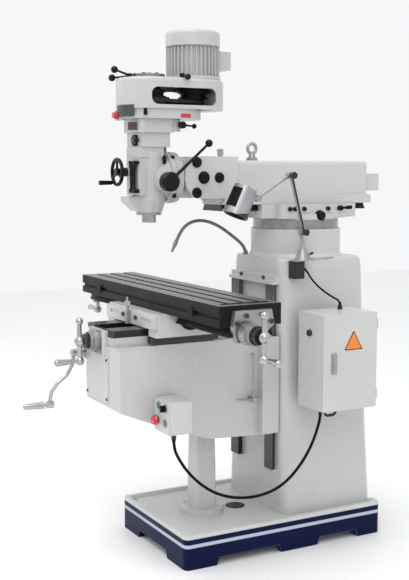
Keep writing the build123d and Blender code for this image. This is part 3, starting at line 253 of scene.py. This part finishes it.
# one finish all over, or others inside the boxes listed in zones
# soft rounds the edges' shading, in mm
def makeMaterial(name, lookName, zones=(), soft=1.2):
    look = looks[lookName]
    material = bpy.data.materials.new(name)
    material.use_nodes = True
    tree = material.node_tree
    shader = tree.nodes["Principled BSDF"]
    new = tree.nodes.new
    link = tree.links.new
    where = new("ShaderNodeTexCoord").outputs["Object"]
    colour, rough = socketsOf(tree, where, look)
    metal = look.get("metal", 0.0)
    for low, high, otherName in zones:
        other = looks[otherName]
        mask = insideBox(tree, where, low, high)
        otherColour, otherRough = socketsOf(tree, where, other)
        colour = mixed(tree, "RGBA", mask, colour, otherColour)
        rough = mixed(tree, "FLOAT", mask, rough, otherRough)
        if other.get("metal", 0.0) != look.get("metal", 0.0) or isinstance(metal, bpy.types.NodeSocket):
            metal = mixed(tree, "FLOAT", mask, metal, other.get("metal", 0.0))
    bevel = new("ShaderNodeBevel")
    bevel.samples = 4
    bevel.inputs["Radius"].default_value = soft * mm
    geometry = new("ShaderNodeNewGeometry")
    along = new("ShaderNodeVectorMath")
    along.operation = "DOT_PRODUCT"
    link(bevel.outputs["Normal"], along.inputs[0])
    link(geometry.outputs["Normal"], along.inputs[1])
    worn = new("ShaderNodeMapRange")
    worn.inputs["From Min"].default_value = 0.985
    worn.inputs["From Max"].default_value = 0.86
    worn.inputs["To Max"].default_value = look["wear"]
    link(along.outputs["Value"], worn.inputs["Value"])
    colour = mixed(tree, "RGBA", worn.outputs["Result"], colour, (*look["edge"], 1))
    grain = new("ShaderNodeTexNoise")
    grain.inputs["Scale"].default_value = 1000.0 / look["grain"] / 2
    grain.inputs["Detail"].default_value = 3.0
    link(where, grain.inputs["Vector"])
    bump = new("ShaderNodeBump")
    bump.inputs["Strength"].default_value = 0.55
    bump.inputs["Distance"].default_value = look["height"] * mm
    link(grain.outputs["Fac"], bump.inputs["Height"])
    link(bevel.outputs["Normal"], bump.inputs["Normal"])
    link(colour, shader.inputs["Base Color"])
    link(rough, shader.inputs["Roughness"])
    if isinstance(metal, bpy.types.NodeSocket):
        link(metal, shader.inputs["Metallic"])
    else:
        shader.inputs["Metallic"].default_value = metal
    shader.inputs["Specular IOR Level"].default_value = look.get("spec", 0.5)
    shader.inputs["Coat Weight"].default_value = look["coat"]
    shader.inputs["Coat Roughness"].default_value = 0.12
    link(bump.outputs["Normal"], shader.inputs["Normal"])
    return material


far = 5000  # an open side of a zone, in mm

# node finishes with zones: a main look, the boxes that have another one, and how soft the edges are
paints = {
    "plinth": {"look": "plinthWhiteLit", "soft": 2.0, "zones": [
        ((-far, -far, -1), (far, far, 88), "navyEnamel"),
        ((-far, -far, 88), (far, far, 102), "stripeEnamel"),
        ((-far, -far, 102), (far, far, 123), "navyEnamel"),
        ((-271, -445, 90), (271, 445, 200), "plinthWhiteLit")]},
    "columnPaint": {"look": "whiteEnamel", "soft": 2.5, "zones": [
        ((-175, -1, 700), (175, 21.8, 1086), "groundWay"),
        # the rails below the knee get the near-black steel: painted shade under the knee, the rails being
        # the same ground steel as above
        ((-175, -1, 304), (175, 21.8, 700), "oiledSteelAndShade"),
        ((-110, -8, 1099), (110, 3.9, 1120), "oiledSteelAndShade")]},
    "kneePaint": {"look": "whiteEnamel", "soft": 2.0, "zones": [
        ((-140, -694, 908), (140, 20, 939.4), "oiledSteelAndShade"),
        ((-140, -694, 939.4), (140, 20, 945), "groundWay"),
        ((-174, -0.3, 400), (174, 19, 900), "oiledSteelAndShade"),
        ((-60, -714, 830), (60, -712.5, 940), "turnedSteel")]},
    "saddlePaint": {"look": "whiteEnamel", "soft": 2.0, "zones": [
        ((-12, -590, 930), (12, -566.4, 1060), "castSilver"),
        ((-75, -576, 960), (-45, -566.2, 990), "oiledSteelAndShade"),
        ((45, -576, 960), (75, -566.2, 990), "oiledSteelAndShade"),
        ((-160, -548, 860), (160, -240, 939.9), "oiledSteelAndShade")]},
    "ramPaint": {"look": "whiteEnamel", "soft": 2.5, "zones": [
        # the ram's dovetail in near-black steel: bare steel, painted darker for the shade under the ram's
        # flange
        ((-83, -far, 1380), (83, far, 1410.9), "oiledSteelAndShade")]},
    "turretPaint": {"look": "whiteEnamel", "soft": 2.0, "zones": [
        ((-190, 30, 1300), (190, 410, 1346.8), "ringSteel"),
        ((-66, -100, 1380), (66, 500, 1412), "oiledSteelAndShade")]},
    "tableIron": {"look": "darkIron", "soft": 1.0, "zones": [
        ((-far, -far, 1080.2), (far, far, 1090), "groundTop")]},
    "bracketMetal": {"look": "castSilver", "soft": 1.5, "zones": [
        ((659.1, -480, 1008), (680, -448.5, 1032), "oiledSteelAndShade"),
        ((659.1, -330, 1008), (680, -300, 1032), "oiledSteelAndShade"),
        ((659.1, -432, 1034), (680, -340, 1060), "oiledSteelAndShade"),
        ((-680, -480, 1008), (-659.1, -448.5, 1032), "oiledSteelAndShade"),
        ((-680, -330, 1008), (-659.1, -300, 1032), "oiledSteelAndShade"),
        ((-680, -432, 1021), (-659.1, -340, 1048), "oiledSteelAndShade")]},
    "longScrewMetal": {"look": "castSilver", "soft": 1.0, "zones": [
        ((-far, -far, 0), (-690, far, far), "chromed"),
        ((764, -far, 0), (far, far, far), "chromed"),
        ((728, -450, 940), (756, -380, 1030), "oiledSteelAndShade")]},
    "crossScrewMetal": {"look": "castSilver", "soft": 1.0, "zones": [
        ((-far, -far, 0), (far, -762, far), "chromed"),
        ((-31, -762, 850), (31, -746.4, 930), "oiledSteelAndShade")]},
    "headPaint": {"look": "silverEnamel", "soft": 2.0, "zones": [
        ((-48, -583, 1520), (-20, -556, 1566), "oiledSteelAndShade")]},
    "boxPaint": {"look": "sheetWhite", "soft": 1.6, "zones": [
        ((-far, -540, 500), (far, -534.3, 700), "castSilver"),
        ((200, -510, 500), (250, -460, 541.8), "satinBlackAndShade")]},
    "cabinetPaint": {"look": "sheetWhite", "soft": 1.6, "zones": [
        ((300, 60, 540), (360, 230, 596.9), "satinBlackAndShade"),
        ((300, 50, 880), (370, 67.9, 930), "satinBlackAndShade"),
        ((280, 210, 985.1), (330, 260, 1010), "satinBlackAndShade")]},
    "lampPaint": {"look": "castSilver", "soft": 1.2, "zones": [
        ((100, 0, 1100), (251, 107, 1183.9), "satinBlackAndShade"),
        ((247.5, 123, 1206), (275, 140, 1226), "satinBlackAndShade")]},
    "armPaint": {"look": "castSilver", "soft": 1.0, "zones": [
        ((254.5, -far, 0), (far, far, far), "blackKnob")]},
    "lampHeadPaint": {"look": "castSilver", "soft": 1.2, "zones": [
        ((190, -300, 1300), (310, -150, 1384), "satinBlackAndShade")]},
    "housingPaint": {"look": "silverEnamel", "soft": 2.0, "zones": [
        ((-68, -547, 1907.4), (68, -411, 1930), "ringSteel"),
        # inside of the housing in satin black: painted shade, so the belt windows look dark
        ((-100, -530, 1785), (100, -236, 1897.5), "satinBlackAndShade")]},
    "caseCover": {"look": "sheetWhite", "soft": 1.6, "zones": []},
    "leverBlack": {"look": "blackKnob", "soft": 0.8, "zones": []},
    "motorPaint": {"look": "silverEnamel", "soft": 1.5, "zones": []},
    "quillSteel": {"look": "turnedSteel", "soft": 1.0, "zones": []},
}
materials = {name: makeMaterial(name, name) for name in looks if name != "floorPaint"}
for paintName, paint in paints.items():
    materials[paintName] = makeMaterial(paintName, paint["look"], paint["zones"], paint["soft"])
print("materials made:", len(materials))

nodeMaterials = {
    "plinth": ["base"],
    "columnPaint": ["column"],
    "kneePaint": ["knee"],
    "saddlePaint": ["saddle"],
    "ramPaint": ["ram"],
    "turretPaint": ["turret_saddle"],
    "tableIron": ["table"],
    "bracketMetal": ["table_brackets"],
    "longScrewMetal": ["table_screw"],
    "crossScrewMetal": ["cross_feed_crank"],
    "whiteEnamel": ["knee_screw_post"],
    "headPaint": ["head_casting", "ram_adapter"],
    "silverEnamel": ["back_gear_case"],
    "housingPaint": ["belt_housing"],
    "motorPaint": ["motor"],
    "boxPaint": ["control_box"],
    "cabinetPaint": ["electric_cabinet"],
    "caseCover": ["cabinet_door"],
    "lampPaint": ["lamp_base"],
    "armPaint": ["lamp_stem", "lamp_lower_arm", "lamp_upper_arm"],
    "lampHeadPaint": ["lamp_head"],
    "bulbGlass": ["lamp_bulb"],
    "phenolicBeige": ["control_gear"],
    "chromed": ["elevating_crank"],
    "turnedSteel": ["knee_screw", "elevating_shaft", "nod_worm", "spindle"],
    "darkIron": ["spindle_pulley", "motor_pulley"],
    "quillSteel": ["quill"],
    "oiledSteelAndShade": ["turret_bolts", "nod_bolts", "drain_strainer", "ram_pinion", "quill_stop"],
    "castSilver": ["lifting_eye", "cabinet_latch", "knee_lock_lever"],
    "satinBlackAndShade": ["ram_lock_lever"],
    "beltRubber": ["drive_belt"],
    "leverBlack": ["brake_lever", "high_low_lever", "back_gear_lever", "belt_release_lever",
                   "feed_selector_knob", "fine_feed_handwheel", "quill_feed_lever", "quill_lock_lever",
                   "mode_selector"],
    "redButton": ["stop_button", "drum_switch_knob"],
    "greenButton": ["start_button", "jog_button"],
    "cableBlack": ["control_cable", "lamp_cable"],
    "hoseSteel": ["coolant_hose"],
}
for materialName, members in nodeMaterials.items():
    for nodeName in members:
        slots = nodes[nodeName].data.materials
        slots.clear()
        slots.append(materials[materialName])
print("finishes given to", sum(len(m) for m in nodeMaterials.values()), "nodes")


# mesh helpers, all in mm

# a turned shape: profile is (radius, height) along the axis
def addLathe(bm, profile, centre, axis, steps=36):
    along = Vector(axis).normalized()
    side = along.orthogonal().normalized()
    other = along.cross(side)
    middle = Vector(centre)
    rings = []
    for radius, height in profile:
        spot = middle + along * height
        if radius < 1e-6:
            rings.append([bm.verts.new(spot)])
            continue
        rings.append([bm.verts.new(spot + (side * math.cos(t) + other * math.sin(t)) * radius)
                      for t in (2 * math.pi * k / steps for k in range(steps))])
    for low, high in zip(rings, rings[1:]):
        for k in range(steps):
            n = (k + 1) % steps
            if len(low) == 1 and len(high) > 1:
                bm.faces.new((low[0], high[k], high[n]))
            elif len(high) == 1 and len(low) > 1:
                bm.faces.new((low[k], high[0], low[n]))
            elif len(low) > 1:
                bm.faces.new((low[k], high[k], high[n], low[n]))


# a flat plate with a soft upper edge, from an outline in its own plane
def addSlab(bm, outline, origin, across, up, thick, soft=0.4):
    across = Vector(across).normalized()
    up = Vector(up).normalized()
    out = across.cross(up)
    start = Vector(origin)
    cx = sum(p[0] for p in outline) / len(outline)
    cy = sum(p[1] for p in outline) / len(outline)
    loops = []
    for height, shrink in ((0, 0), (thick - soft, 0), (thick, soft)):
        loop = []
        for px, py in outline:
            reach = max(math.hypot(px - cx, py - cy), 1e-6)
            keep = 1 - shrink / reach
            flat = across * (cx + (px - cx) * keep) + up * (cy + (py - cy) * keep)
            loop.append(bm.verts.new(start + flat + out * height))
        loops.append(loop)
    count = len(outline)
    for low, high in zip(loops, loops[1:]):
        for k in range(count):
            n = (k + 1) % count
            bm.faces.new((low[k], low[n], high[n], high[k]))
    bm.faces.new(loops[-1])
    bm.faces.new(list(reversed(loops[0])))


# outline of a box with round corners, about its own middle
def roundedBox(width, height, radius, steps=5):
    points = []
    for cx, cy, first in ((1, 1, 0), (-1, 1, 90), (-1, -1, 180), (1, -1, 270)):
        for k in range(steps + 1):
            t = math.radians(first + 90 * k / steps)
            points.append((cx * (width / 2 - radius) + radius * math.cos(t),
                           cy * (height / 2 - radius) + radius * math.sin(t)))
    return points


# a thin plate bent round an upright axis; degrees run from the front (-Y) towards +X
def addCurved(bm, axisPoint, radius, fromDeg, toDeg, low, high, thick=0.9, steps=20):
    grid = []
    for k in range(steps + 1):
        t = math.radians(fromDeg + (toDeg - fromDeg) * k / steps)
        out = Vector((math.sin(t), -math.cos(t), 0))
        base = Vector((axisPoint[0], axisPoint[1], 0))
        grid.append([bm.verts.new(base + out * (radius + r) + Vector((0, 0, z)))
                     for r, z in ((0, low), (thick, low + 0.5), (thick, high - 0.5), (0, high))])
    for a, b in zip(grid, grid[1:]):
        for k in range(4):
            n = (k + 1) % 4
            bm.faces.new((a[k], b[k], b[n], a[n]))
    bm.faces.new(grid[0])
    bm.faces.new(list(reversed(grid[-1])))


# a tube along points, its radius given at each one
def addTube(bm, path, radii, steps=16):
    points = [Vector(p) for p in path]
    side = (points[1] - points[0]).orthogonal().normalized()
    rings = []
    for k, point in enumerate(points):
        run = (points[min(k + 1, len(points) - 1)] - points[max(k - 1, 0)]).normalized()
        side = (side - run * side.dot(run)).normalized()
        other = run.cross(side)
        rings.append([bm.verts.new(point + (side * math.cos(t) + other * math.sin(t)) * radii[k])
                      for t in (2 * math.pi * n / steps for n in range(steps))])
    for low, high in zip(rings, rings[1:]):
        for k in range(steps):
            n = (k + 1) % steps
            bm.faces.new((low[k], low[n], high[n], high[k]))
    bm.faces.new(list(reversed(rings[0])))
    bm.faces.new(rings[-1])


# a cap screw with a chamfered rim and a six-sided socket
def socketScrew(bm, at, axis, radius, height):
    addLathe(bm, [(0, 0), (radius, 0), (radius, height * 0.82), (radius * 0.9, height),
                  (radius * 0.55, height)], at, axis, 30)
    addLathe(bm, [(radius * 0.55, height), (radius * 0.5, height * 0.95), (radius * 0.5, height * 0.4),
                  (0, height * 0.35)], at, axis, 6)


# turns the mesh into an object in metres that rides on a body, or on none if it is to be blended
def finishPiece(name, bm, body, materialName, angle=38):
    bmesh.ops.scale(bm, vec=(mm, mm, mm), verts=bm.verts)
    bmesh.ops.recalc_face_normals(bm, faces=bm.faces)
    mesh = bpy.data.meshes.new(name)
    bm.to_mesh(mesh)
    bm.free()
    for face in mesh.polygons:
        face.use_smooth = True
    mesh.set_sharp_from_angle(angle=math.radians(angle))
    mesh.materials.append(materials[materialName])
    piece = bpy.data.objects.new(name, mesh)
    bpy.context.scene.collection.objects.link(piece)
    if body:
        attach(piece, body)
    return piece


# gooseneck coolant pipe, made of wound steel strip

gooseneck = {"route": [(-128, 44, 1190.3), (-128, 44, 1218), (-116, -22, 1266), (-101, -98, 1313),
                       (-80, -168, 1338), (-66, -228, 1344), (-54, -280, 1330), (-42, -318, 1299),
                       (-32, -341, 1262)],
             "radius": 7.0, "turn": 4.2, "groove": 0.9, "aim": (9, -28, -47),
             "nozzle": [(0, -3), (8.2, -3), (8.6, 0), (8.6, 16), (7.6, 18), (7.6, 24), (6.2, 27), (4.2, 48),
                        (3.4, 50), (2.3, 50), (2.3, 44), (0, 44)],
             "nut": [(0, 0), (12, 0), (12, 3), (11, 4), (11, 8)],
             "collar": [(11, 8), (9.4, 9), (9.4, 14), (8, 16), (0, 16)]}


# points along the NURBS line that has the route's points as its control points, in mm
def smoothRoute(points, name):
    curve = bpy.data.curves.new(name, "CURVE")
    curve.dimensions = "3D"
    spline = curve.splines.new("NURBS")
    spline.points.add(len(points) - 1)
    for spot, point in zip(spline.points, points):
        spot.co = (*[v * mm for v in point], 1)
    spline.order_u = 3
    spline.use_endpoint_u = True
    spline.resolution_u = 24
    holder = bpy.data.objects.new(name, curve)
    bpy.context.scene.collection.objects.link(holder)
    bpy.context.view_layer.update()
    mesh = bpy.data.meshes.new_from_object(holder)
    line = [v.co / mm for v in mesh.vertices]
    bpy.data.objects.remove(holder)
    bpy.data.meshes.remove(mesh)
    return line


# the same line cut into equal steps
def evenSteps(line, step):
    result = [line[0]]
    left = step
    for a, b in zip(line, line[1:]):
        run = (b - a).length
        done = 0.0
        while run - done >= left:
            done += left
            result.append(a.lerp(b, done / run))
            left = step
        left -= run - done
    result.append(line[-1])
    return result


line = evenSteps(smoothRoute(gooseneck["route"], "gooseneckLine"), gooseneck["turn"] / 4)
bm = bmesh.new()
ribs = [gooseneck["radius"] - gooseneck["groove"] * (1, 0.25, 0, 0.25)[k % 4] for k in range(len(line))]
addTube(bm, line, ribs, 18)
addLathe(bm, gooseneck["nozzle"], gooseneck["route"][-1], gooseneck["aim"], 24)
addLathe(bm, gooseneck["nut"], gooseneck["route"][0], (0, 0, 1), 6)
addLathe(bm, gooseneck["collar"], gooseneck["route"][0], (0, 0, 1), 28)
pipe = finishPiece("gooseneckPipe", bm, "frame", "hoseSteel")
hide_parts("coolant_hose")
print("gooseneck made")

# the two cables, round rubber leads that follow their routes

controlLead = {"route": [(228, -486, 515.9), (228, -486, 476), (233, -466, 430), (242, -430, 374),
                         (253, -380, 322), (265, -322, 282), (279, -256, 258), (292, -184, 250),
                         (304, -112, 258), (314, -46, 284), (322, 8, 328), (328, 54, 384), (332, 90, 444),
                         (334.5, 113, 504), (336, 126, 550), (336, 126, 580.9)],
               "radius": 6.0, "length": 0.945}
lampLead = {"route": [(226, 106.1, 1148), (226, 123, 1148), (238, 142, 1106), (262, 174, 1066),
                      (290, 212, 1034), (308, 236, 1020), (308, 236, 999.1)],
            "radius": 4.0, "length": 0.228}


# one cable in place of its node
def makeLead(name, lead, nodeName, body):
    line = evenSteps(smoothRoute(lead["route"], name + "Line"), 5.0)
    bm = bmesh.new()
    addTube(bm, line, [lead["radius"]] * len(line), 16)
    cable = finishPiece(name, bm, body, "cableBlack", 60)
    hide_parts(nodeName)
    return cable


controlCable = makeLead("controlLead", controlLead, "control_cable", None)
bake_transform(controlCable)
makeLead("lampLead", lampLead, "lamp_cable", "frame")
print("cables made")


# head: rating plate, small plates, oil sight and the screws of the top cover

# plates are given by their first and last degree round the spindle, and their low and high edge
headPlates = {"axis": (0, -484), "housingRadius": 122.0, "rating": (-7.5, 41, 1756, 1801),
              "caseRadius": 100.0, "plum": (17, 42, 1704, 1735),
              "fields": {"from": -5, "wide": 4.6, "pitch": 6.4, "low": 1760, "tall": 7, "rise": 10.2},
              "red": {"wide": 44, "tall": 15, "place": (113.0, -371, 1761)}}
bm = bmesh.new()
addCurved(bm, headPlates["axis"], headPlates["housingRadius"], *headPlates["rating"], 1.0)
finishPiece("ratingPlate", bm, "head", "darkPlate")
bm = bmesh.new()
fields = headPlates["fields"]
for row in range(4):
    for column in range(7):
        start = fields["from"] + column * fields["pitch"]
        low = fields["low"] + row * fields["rise"]
        addCurved(bm, headPlates["axis"], headPlates["housingRadius"] + 0.9, start, start + fields["wide"],
                  low, low + fields["tall"], 0.25, 3)
finishPiece("ratingFields", bm, "head", "fieldGrey")

bm = bmesh.new()
addCurved(bm, headPlates["axis"], headPlates["caseRadius"], *headPlates["plum"], 1.0)
finishPiece("casePlate", bm, "head", "plumPlate")

oilSight = {"degrees": 62, "low": 1760, "half": 7, "straight": 20, "thick": 1.2}
bm = bmesh.new()
arch = [(-oilSight["half"], 0), (oilSight["half"], 0)]
for k in range(13):
    turn = math.pi * k / 12
    high = oilSight["straight"] + oilSight["half"] * math.sin(turn)
    arch.append((oilSight["half"] * math.cos(turn), high))
turn = math.radians(oilSight["degrees"])
reach = headPlates["housingRadius"]
addSlab(bm, arch, (reach * math.sin(turn), headPlates["axis"][1] - reach * math.cos(turn), oilSight["low"]),
        (math.cos(turn), math.sin(turn), 0), (0, 0, 1), oilSight["thick"])
finishPiece("oilSight", bm, "head", "satinBlackAndShade")
bm = bmesh.new()
red = headPlates["red"]
addSlab(bm, roundedBox(red["wide"], red["tall"], 1.5), red["place"], (0, 1, 0), (0, 0, 1), 0.9)
finishPiece("redPlate", bm, "head", "redPlate")

topCover = {"centre": (0, -479, 1922.9), "ring": 52, "screw": (5.5, 4.5),
            "cap": [(0, 0), (16, 0), (16, 5), (14, 6.5), (9, 6.5), (9, 3), (0, 3)]}
bm = bmesh.new()
cx, cy, cz = topCover["centre"]
for k in range(6):
    turn = math.radians(60 * k + 15)
    spot = (cx + topCover["ring"] * math.cos(turn), cy + topCover["ring"] * math.sin(turn), cz)
    socketScrew(bm, spot, (0, 0, 1), *topCover["screw"])
addLathe(bm, topCover["cap"], topCover["centre"], (0, 0, 1), 36)
finishPiece("coverScrews", bm, "head", "oiledSteelAndShade")
print("head plates made")

# saddle: half-round cover of the long screw at its right end

screwCover = {"x": 232.0, "centre": (-414, 984), "radius": 47, "cut": 966, "thick": 7}
bm = bmesh.new()
low = math.asin((screwCover["cut"] - screwCover["centre"][1]) / screwCover["radius"])
outline = []
for k in range(25):
    turn = math.pi - low + (2 * low + math.pi) * k / 24
    outline.append((screwCover["radius"] * math.cos(turn), screwCover["radius"] * math.sin(turn)))
addSlab(bm, outline, (screwCover["x"], *screwCover["centre"]), (0, 1, 0), (0, 0, 1),
        screwCover["thick"], 1.0)
finishPiece("screwCover", bm, "saddle_body", "satinBlackAndShade")

# knee: raised lip of the side panels, screws of the front cover, oil pipe

kneeLip = {"half": 150.0, "high": 872, "tall": 5, "front": -690, "back": -62, "thick": 1.6}
bm = bmesh.new()
length = kneeLip["back"] - kneeLip["front"]
middle = (kneeLip["front"] + kneeLip["back"]) / 2
for side in (-1, 1):
    place = (kneeLip["half"] * side, middle, kneeLip["high"] - 3)
    addSlab(bm, roundedBox(length, kneeLip["tall"], 1.2), place, (0, side, 0), (0, 0, 1), kneeLip["thick"])
finishPiece("kneeLip", bm, "knee_body", "whiteEnamel")

frontCover = {"face": -709.9, "across": (-98, 98), "heights": (668, 822), "screw": (5, 3.5)}
bm = bmesh.new()
for x in frontCover["across"]:
    for z in frontCover["heights"]:
        socketScrew(bm, (x, frontCover["face"], z), (0, -1, 0), *frontCover["screw"])
finishPiece("coverBolts", bm, "knee_body", "oiledSteelAndShade")

oilPipe = {"route": [(152, -84, 624), (154, -72, 621), (154, -58, 620), (154, -51, 650), (154, -46, 700),
                     (152, -45, 742)], "radius": 1.6}
bm = bmesh.new()
pipeLine = evenSteps(smoothRoute(oilPipe["route"], "oilPipeLine"), 4.0)
addTube(bm, pipeLine, [oilPipe["radius"]] * len(pipeLine), 10)
finishPiece("oilPipe", bm, "knee_body", "castSilver")
print("knee details made")

# cabinet: plain triangular sign without a symbol

sign = {"top": (212, 917), "left": (167, 839), "right": (257, 839), "round": 7, "x": 436.5, "thick": 0.7,
        "inner": 0.86}
corners = [sign["left"], sign["right"], sign["top"]]
middle = (sum(c[0] for c in corners) / 3, sum(c[1] for c in corners) / 3)
outline = []
for k in range(3):
    spot = Vector(corners[k])
    toBefore = (Vector(corners[k - 1]) - spot).normalized() * sign["round"]
    toAfter = (Vector(corners[(k + 1) % 3]) - spot).normalized() * sign["round"]
    for step in range(5):
        t = step / 4
        point = (spot + toBefore) * (1 - t) ** 2 + spot * 2 * t * (1 - t) + (spot + toAfter) * t ** 2
        outline.append((point.x - middle[0], point.y - middle[1]))
bm = bmesh.new()
addSlab(bm, outline, (sign["x"], *middle), (0, 1, 0), (0, 0, 1), sign["thick"], 0.3)
finishPiece("signBorder", bm, "door", "satinBlackAndShade")
bm = bmesh.new()
inner = [(x * sign["inner"], y * sign["inner"]) for x, y in outline]
addSlab(bm, inner, (sign["x"] + 0.6, *middle), (0, 1, 0), (0, 0, 1), sign["thick"], 0.3)
finishPiece("signFace", bm, "door", "amberPlate")

# strain reliefs at both ends of the cables

reliefs = {"controlOut": ((228, -486, 516), (0, 0, -1), 6.0, "knee_body"),
           "controlIn": ((336, 126, 581), (0, 0, -1), 6.0, "frame"),
           "lampOut": ((226, 106, 1148), (0, 1, 0), 4.0, "frame"),
           "lampIn": ((308, 236, 999), (0, 0, 1), 4.0, "frame")}
for reliefName, (at, axis, inside, body) in reliefs.items():
    bm = bmesh.new()
    profile = [(inside + 0.2, 0), (inside + 3.4, 0)]
    for ring in range(4):
        wide = inside + 3.2 - 0.6 * ring
        profile += [(wide, 3 + 3 * ring), (wide - 0.9, 3.6 + 3 * ring), (wide - 0.9, 5.2 + 3 * ring),
                    (wide - 0.5, 5.8 + 3 * ring)]
    profile += [(inside + 0.6, 16), (inside + 0.2, 16)]
    addLathe(bm, profile, at, axis, 28)
    finishPiece(reliefName + "Relief", bm, body, "cableBlack")
print("signs and reliefs made")

# work lamp: dark plate bent round the shell

badge = {"top": (248, -178, 1482), "along": (0, -0.42, -0.907), "facing": (0.19, -0.98, 0), "spread": 38,
         "from": 14, "to": 94, "shell": (46, 50), "length": 112, "thick": 0.9}
bm = bmesh.new()
along = Vector(badge["along"]).normalized()
out = Vector(badge["facing"])
out = (out - along * out.dot(along)).normalized()
sideways = along.cross(out)
grid = []
for k in range(17):
    turn = math.radians(-badge["spread"] + 2 * badge["spread"] * k / 16)
    radial = out * math.cos(turn) + sideways * math.sin(turn)
    column = []
    for high, lift in ((badge["from"], 0.05), (badge["from"] + 1, badge["thick"]),
                       (badge["to"] - 1, badge["thick"]), (badge["to"], 0.05)):
        wide = badge["shell"][0] + (badge["shell"][1] - badge["shell"][0]) * high / badge["length"]
        column.append(bm.verts.new(Vector(badge["top"]) + along * high + radial * (wide + lift)))
    grid.append(column)
for a, b in zip(grid, grid[1:]):
    for k in range(3):
        bm.faces.new((a[k], b[k], b[k + 1], a[k + 1]))
finishPiece("lampBadge", bm, "lamp", "satinBlackAndShade")

# head: bolts of the rear flange and of the selector's plate

headBolts = {"flange": [(60, -398, 1599), (-60, -398, 1599), (74, -398, 1450), (-74, -398, 1450)],
             "flangeScrew": (9, 12), "selector": (18, -543.2, 1666), "ring": 25,
             "selectorScrew": (3.2, 2.2)}
bm = bmesh.new()
for spot in headBolts["flange"]:
    socketScrew(bm, spot, (0, -1, 0), *headBolts["flangeScrew"])
sx, sy, sz = headBolts["selector"]
for k in range(4):
    turn = math.radians(90 * k + 45)
    spot = (sx + headBolts["ring"] * math.cos(turn), sy, sz + headBolts["ring"] * math.sin(turn))
    socketScrew(bm, spot, (0, -1, 0), *headBolts["selectorScrew"])
finishPiece("headBolts", bm, "head", "oiledSteelAndShade")
print("head bolts made")

# floor

floorMaterial = makeMaterial("floorPaint", "floorPaint")
floorMesh = bpy.data.meshes.new("floor")
bm = bmesh.new()
bmesh.ops.create_grid(bm, x_segments=8, y_segments=8, size=9.0)
bm.to_mesh(floorMesh)
bm.free()
floorMesh.materials.append(floorMaterial)
floor = bpy.data.objects.new("floor", floorMesh)
bpy.context.scene.collection.objects.link(floor)

print("scene ready")
